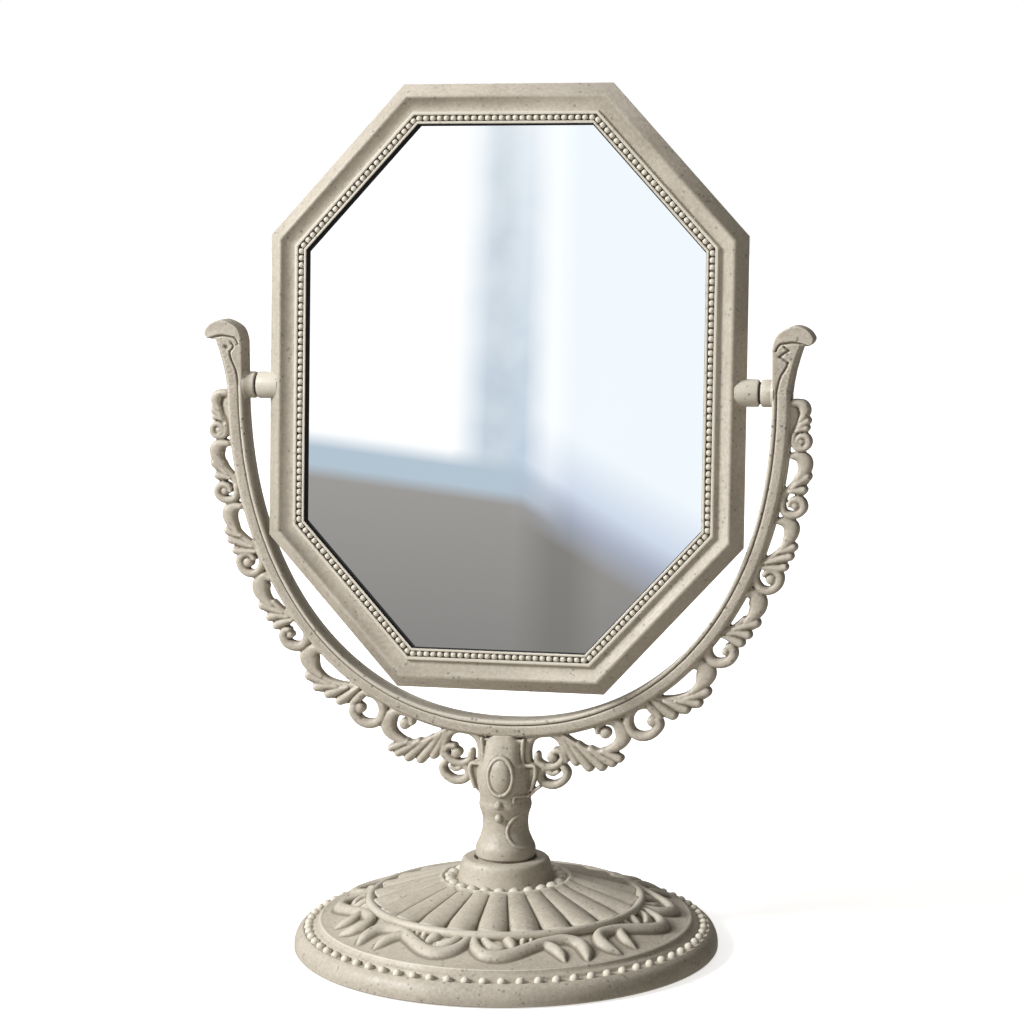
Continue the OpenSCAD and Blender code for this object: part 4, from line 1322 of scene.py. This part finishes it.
class SWIVELMIRROR_OT_frame_beads(bpy.types.Operator):
    """Sets a row of small beads in the groove of each frame"""

    bl_idname = "swivelmirror.frame_beads"
    bl_label = "Frame beads"

    def execute(self, context):
        sizes = context.scene.swivel_mirror_sizes
        pitch, size = sizes.frame_bead_pitch / MM, sizes.frame_bead / MM
        corners = [np.array(c) for c in octagon(BEAD_INSET)]
        places = []
        for a, b in zip(corners, corners[1:] + corners[:1]):
            count = max(2, round(np.linalg.norm(b - a) / pitch))
            turn = Matrix.Rotation(math.atan2(*(b - a)[::-1]), 4, "Z")
            for i in range(count):
                x, y = a + (b - a) * (i + 0.5) / count
                spot = Matrix.Translation((x, y, BEAD_HEIGHT))
                places.append(spot @ turn @ Matrix.Diagonal((size, 1.8, 1.9, 1)))
        for name, node, face in (("front_bead_row", "front_frame", 1), ("rear_bead_row", "rear_frame", -1)):
            bead = bead_ball(name, 0.5, 10, 6)
            shape = read_points(bead) * 2
            write_points(bead, np.sign(shape) * np.abs(shape) ** 0.72 / 2)
            row = copies(name, bead, places)
            into_yoke(row, face)
            if face < 0:
                flip_faces(row)
            # Frame beads take the highlight tone: painted highlight.
            settle(row, SWING, node, "raised_highlight", None, 0)
        return {"FINISHED"}


class SWIVELMIRROR_OT_pivot_bosses(bpy.types.Operator):
    """Spins the rounded bosses of the arms and of the mirror frame"""

    bl_idname = "swivelmirror.pivot_bosses"
    bl_label = "Pivot bosses"

    def execute(self, context):
        bore = 1.6
        for side, sign in (("right", 1), ("left", -1)):
            for kind, body in (("socket", STAND), ("barrel", SWING)):
                node = f"{side}_pivot_{kind}"
                low, high = (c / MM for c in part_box(node))
                x0, x1 = (low.x, high.x) if sign > 0 else (-high.x, -low.x)
                if kind == "socket":
                    r = (high.z - low.z) / 2
                    x1 = ARM_X + 0.4
                    outline = [(bore, x0), (r - 0.55, x0), (r - 0.15, x0 + 0.15), (r, x0 + 0.55),
                               (r - 0.05, x1 - 1.0), (r + 0.5, x1), (bore, x1)]
                else:
                    r = 4.4
                    outline = [(bore, x0), (r, x0), (r, x1 - 0.55), (r - 0.15, x1 - 0.15),
                               (r - 0.55, x1), (bore, x1)]
                boss = spun(f"{side}_{kind}_boss", outline, 48)
                co = read_points(boss)
                write_points(boss, np.stack([sign * co[:, 2], co[:, 1], PIVOT_Z + co[:, 0]], 1))
                tidy_mesh(boss)
                settle(boss, body, node, "plastic", 40, 1)
        return {"FINISHED"}


CARRIED_OVER = {
    "base_weight": "iron", "base_cover": "cover", "cover_screws": "steel", "foot_pads": "foam",
    "stem_screw": "steel", "stem_washer": "steel", "left_pivot_pin": "steel", "right_pivot_pin": "steel",
    "left_friction_washer": "washer", "right_friction_washer": "washer", "front_glass": "glass",
    "rear_glass": "glass", "backing_card": "card",
}


class SWIVELMIRROR_OT_working_parts(bpy.types.Operator):
    """Gives the working parts that stay as they are their own finishes"""

    bl_idname = "swivelmirror.working_parts"
    bl_label = "Working parts"

    def execute(self, context):
        for node, finish in CARRIED_OVER.items():
            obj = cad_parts[node]
            obj.data.materials.clear()
            obj.data.materials.append(FINISHES[finish])
        return {"FINISHED"}


# ---- stage ----

CAMERA_PLACE = (0.2072, -0.8484, 0.2600)
CAMERA_YAW, CAMERA_PITCH, CAMERA_ROLL = 13.56, -7.54, -0.22
CAMERA_LENS = 95.44


def look_matrix(place, yaw, pitch, roll):
    """Camera matrix from its place and its three turns in degrees."""
    yaw, pitch, roll = map(math.radians, (yaw, pitch, roll))
    flat = math.cos(pitch)
    ahead = Vector((-math.sin(yaw) * flat, math.cos(yaw) * flat, math.sin(pitch)))
    level = Vector((math.cos(yaw), math.sin(yaw), 0))
    raised = level.cross(ahead)
    right = level * math.cos(roll) + raised * math.sin(roll)
    up = raised * math.cos(roll) - level * math.sin(roll)
    m = Matrix((right, up, -ahead)).transposed().to_4x4()
    m.translation = Vector(place)
    return m


def soft_light(name, place, aim, size, power, colour=(1, 1, 1)):
    light = bpy.data.lights.new(name, "AREA")
    light.shape = "RECTANGLE"
    light.size, light.size_y = size
    light.energy = power
    light.color = colour
    obj = bpy.data.objects.new(name, light)
    obj.location = place
    obj.rotation_euler = (Vector(aim) - Vector(place)).to_track_quat("-Z", "Y").to_euler()
    bpy.context.scene.collection.objects.link(obj)
    return obj


def painted_reflection_card():
    """Unseen glowing card in front of the mirror, seen only in reflections: a painted reflection of a room,
    pale above, warm grey below, with soft upright bands.
    """
    clear_selection()
    bpy.ops.mesh.primitive_plane_add(size=1)
    card = bpy.context.object
    card.name = "painted_reflection_card"
    x, z = read_points(card)[:, :2].T
    write_points(card, np.stack([x * 3.2 - 0.35, z * 0 - 1.5, z * 1.5 + 0.18], 1))
    g = Graph("painted_reflection_card")
    split = g.add("ShaderNodeSeparateXYZ")
    g.link(g.place, split.inputs[0])
    x, z = split.outputs["X"], split.outputs["Z"]
    # Height along the slope of the sill: level on the left, dropping to the right.
    drop = g.span(x, -0.345, 0.40, 0.0, 0.42)
    tilt = g.span(x, -0.56, -0.345, -0.014, 0.010)
    level = g.maths("ADD", g.maths("ADD", z, drop), tilt)
    wall = g.blend(g.span(x, -0.34, -0.30), (1.12, 1.12, 1.12), (0.93, 0.99, 1.03))
    curtain = g.blend(g.span(z, 0.22, 0.52), (0.50, 0.61, 0.72), (0.84, 0.90, 0.95))
    weave = g.span(g.noise(26, 2, 0.5), 0.3, 0.7, 0.8, 1.0)
    band = g.times(g.times(g.span(x, -0.412, -0.380), g.span(x, -0.320, -0.345)), weave)
    stripe = g.times(g.span(x, -0.392, -0.374), g.span(x, -0.350, -0.366))
    curtain = g.blend(g.times(stripe, 0.45), curtain, (0.55, 0.62, 0.68))
    upper = g.blend(band, wall, curtain)
    sill = g.times(g.span(level, 0.228, 0.212), g.span(x, -0.29, -0.36))
    upper = g.blend(sill, upper, (0.48, 0.58, 0.67))
    haze = g.times(g.span(level, 0.275, 0.195), g.span(x, -0.36, -0.30))
    upper = g.blend(haze, upper, (0.50, 0.58, 0.76))
    desk = g.blend(g.span(z, 0.19, 0.03), (0.36, 0.345, 0.33), (0.26, 0.25, 0.24))
    post = g.times(g.span(x, -0.35, -0.315), g.span(x, -0.27, -0.30))
    desk = g.blend(g.times(post, 0.6), desk, (0.19, 0.18, 0.16))
    sharp = g.blend(g.span(level, 0.184, 0.196), desk, upper)
    blurred = g.blend(g.span(level, 0.168, 0.225), desk, upper)
    # The emission paints the reflected room: sharp on the left, blurred to the right.
    emit = g.add("ShaderNodeEmission")
    g.link(g.blend(g.span(x, -0.36, -0.31), sharp, blurred), emit.inputs["Color"])
    g.link(emit.outputs[0], g.tree.nodes["Material Output"].inputs["Surface"])
    card.data.materials.append(g.material)
    card.visible_camera = False
    card.visible_diffuse = False
    card.visible_shadow = False
    card.visible_transmission = False


def white_floor():
    """Pale floor that brightens away from the base."""
    clear_selection()
    bpy.ops.mesh.primitive_plane_add(size=12, location=(0, 0, 0))
    floor = bpy.context.object
    floor.name = "floor"
    g = Graph("floor_white")
    g.colour(g.blend(g.span(g.noise(3, 2), 0.3, 0.7), (0.90, 0.90, 0.90), (0.92, 0.92, 0.92)))
    g.shader.inputs["Roughness"].default_value = 0.9
    g.shader.inputs["Specular IOR Level"].default_value = 0.1
    reach = g.add("ShaderNodeVectorMath", operation="LENGTH")
    g.link(g.place, reach.inputs[0])
    g.shader.inputs["Emission Color"].default_value = (1, 1, 1, 1)
    glow = g.span(reach.outputs["Value"], 0.10, 0.75, 0.62, 1.0)
    g.link(glow, g.shader.inputs["Emission Strength"])
    floor.data.materials.append(g.material)
    floor.visible_glossy = False
    floor.visible_diffuse = False


def studio_world():
    """White surround that lights the left side and the underside more, in a warm tone."""
    world = bpy.data.worlds.new("studio")
    world.use_nodes = True
    tree = world.node_tree
    link = tree.links.new
    seen = tree.nodes["Background"]
    seen.inputs["Color"].default_value = (1, 1, 1, 1)
    seen.inputs["Strength"].default_value = 1.0
    glow = tree.nodes.new("ShaderNodeBackground")
    glow.inputs["Color"].default_value = (1.0, 0.95, 0.86, 1)
    aim = tree.nodes.new("ShaderNodeTexCoord")
    split = tree.nodes.new("ShaderNodeSeparateXYZ")
    link(aim.outputs["Generated"], split.inputs[0])
    level = tree.nodes.new("ShaderNodeMix")
    for axis, target, limits in (("X", "A", (-0.7, 0.5, 0.42, 0.03)),
                                 ("Z", "Factor", (-0.25, 0.05, 1.0, 0.0))):
        ramp = tree.nodes.new("ShaderNodeMapRange")
        for key, value in zip(("From Min", "From Max", "To Min", "To Max"), limits):
            ramp.inputs[key].default_value = value
        link(split.outputs[axis], ramp.inputs["Value"])
        link(ramp.outputs["Result"], level.inputs[target])
    level.inputs["B"].default_value = 0.42
    link(level.outputs["Result"], glow.inputs["Strength"])
    path = tree.nodes.new("ShaderNodeLightPath")
    mix = tree.nodes.new("ShaderNodeMixShader")
    link(path.outputs["Is Camera Ray"], mix.inputs["Fac"])
    link(glow.outputs[0], mix.inputs[1])
    link(seen.outputs[0], mix.inputs[2])
    link(mix.outputs[0], tree.nodes["World Output"].inputs["Surface"])
    return world


class SWIVELMIRROR_OT_stage(bpy.types.Operator):
    """Sets the pale floor, the soft lights, the unseen card with the painted reflection of a room, and the
    camera
    """

    bl_idname = "swivelmirror.stage"
    bl_label = "Stage"

    def execute(self, context):
        scene = context.scene
        white_floor()
        painted_reflection_card()
        scene.world = studio_world()
        soft_light("key", (-1.55, -1.05, 1.25), (0, 0, 0.14), (0.6, 0.6), 60, (0.98, 0.985, 1.0))
        soft_light("fill", (0.1, -1.8, 0.5), (0, 0, 0.12), (1.0, 1.0), 5, (1.0, 0.93, 0.82))
        soft_light("top", (0.0, 0.3, 1.7), (0, 0, 0.1), (0.9, 0.9), 5)
        camera = bpy.data.cameras.new("camera")
        camera.lens = CAMERA_LENS
        camera.sensor_width = 36
        camera.clip_start = 0.01
        holder = bpy.data.objects.new("camera", camera)
        scene.collection.objects.link(holder)
        holder.matrix_world = look_matrix(CAMERA_PLACE, CAMERA_YAW, CAMERA_PITCH, CAMERA_ROLL)
        scene.camera = holder
        scene.view_settings.view_transform = "Standard"
        return {"FINISHED"}


BUILD_ORDER = (
    SWIVELMIRROR_OT_base_rim,
    SWIVELMIRROR_OT_base_field,
    SWIVELMIRROR_OT_base_gadroons,
    SWIVELMIRROR_OT_base_collar,
    SWIVELMIRROR_OT_base_beads,
    SWIVELMIRROR_OT_stem,
    SWIVELMIRROR_OT_yoke_arch,
    SWIVELMIRROR_OT_finials,
    SWIVELMIRROR_OT_scroll_borders,
    SWIVELMIRROR_OT_frames,
    SWIVELMIRROR_OT_frame_beads,
    SWIVELMIRROR_OT_pivot_bosses,
    SWIVELMIRROR_OT_working_parts,
    SWIVELMIRROR_OT_stage,
)


class SWIVELMIRROR_PT_panel(bpy.types.Panel):
    """Sizes, colours and build steps of the swivel mirror"""

    bl_idname = "SWIVELMIRROR_PT_panel"
    bl_label = "Swivel Mirror"
    bl_space_type = "VIEW_3D"
    bl_region_type = "UI"
    bl_category = "Swivel Mirror"

    def draw(self, context):
        layout = self.layout
        for group in (context.scene.swivel_mirror_sizes, context.scene.swivel_mirror_tones):
            box = layout.box()
            for key in group.__annotations__:
                box.prop(group, key)
        for step in BUILD_ORDER:
            layout.operator(step.bl_idname)


CLASSES = (SwivelMirrorSizes, SwivelMirrorTones, *BUILD_ORDER, SWIVELMIRROR_PT_panel)


def register():
    for cls in CLASSES:
        bpy.utils.register_class(cls)
    bpy.types.Scene.swivel_mirror_sizes = PointerProperty(type=SwivelMirrorSizes)
    bpy.types.Scene.swivel_mirror_tones = PointerProperty(type=SwivelMirrorTones)


def unregister():
    del bpy.types.Scene.swivel_mirror_tones
    del bpy.types.Scene.swivel_mirror_sizes
    for cls in reversed(CLASSES):
        bpy.utils.unregister_class(cls)


def main():
    register()
    make_finishes(bpy.context.scene.swivel_mirror_tones)
    for step in BUILD_ORDER:
        group, name = step.bl_idname.split(".")
        getattr(getattr(bpy.ops, group), name)()


if __name__ == "__main__":
    main()
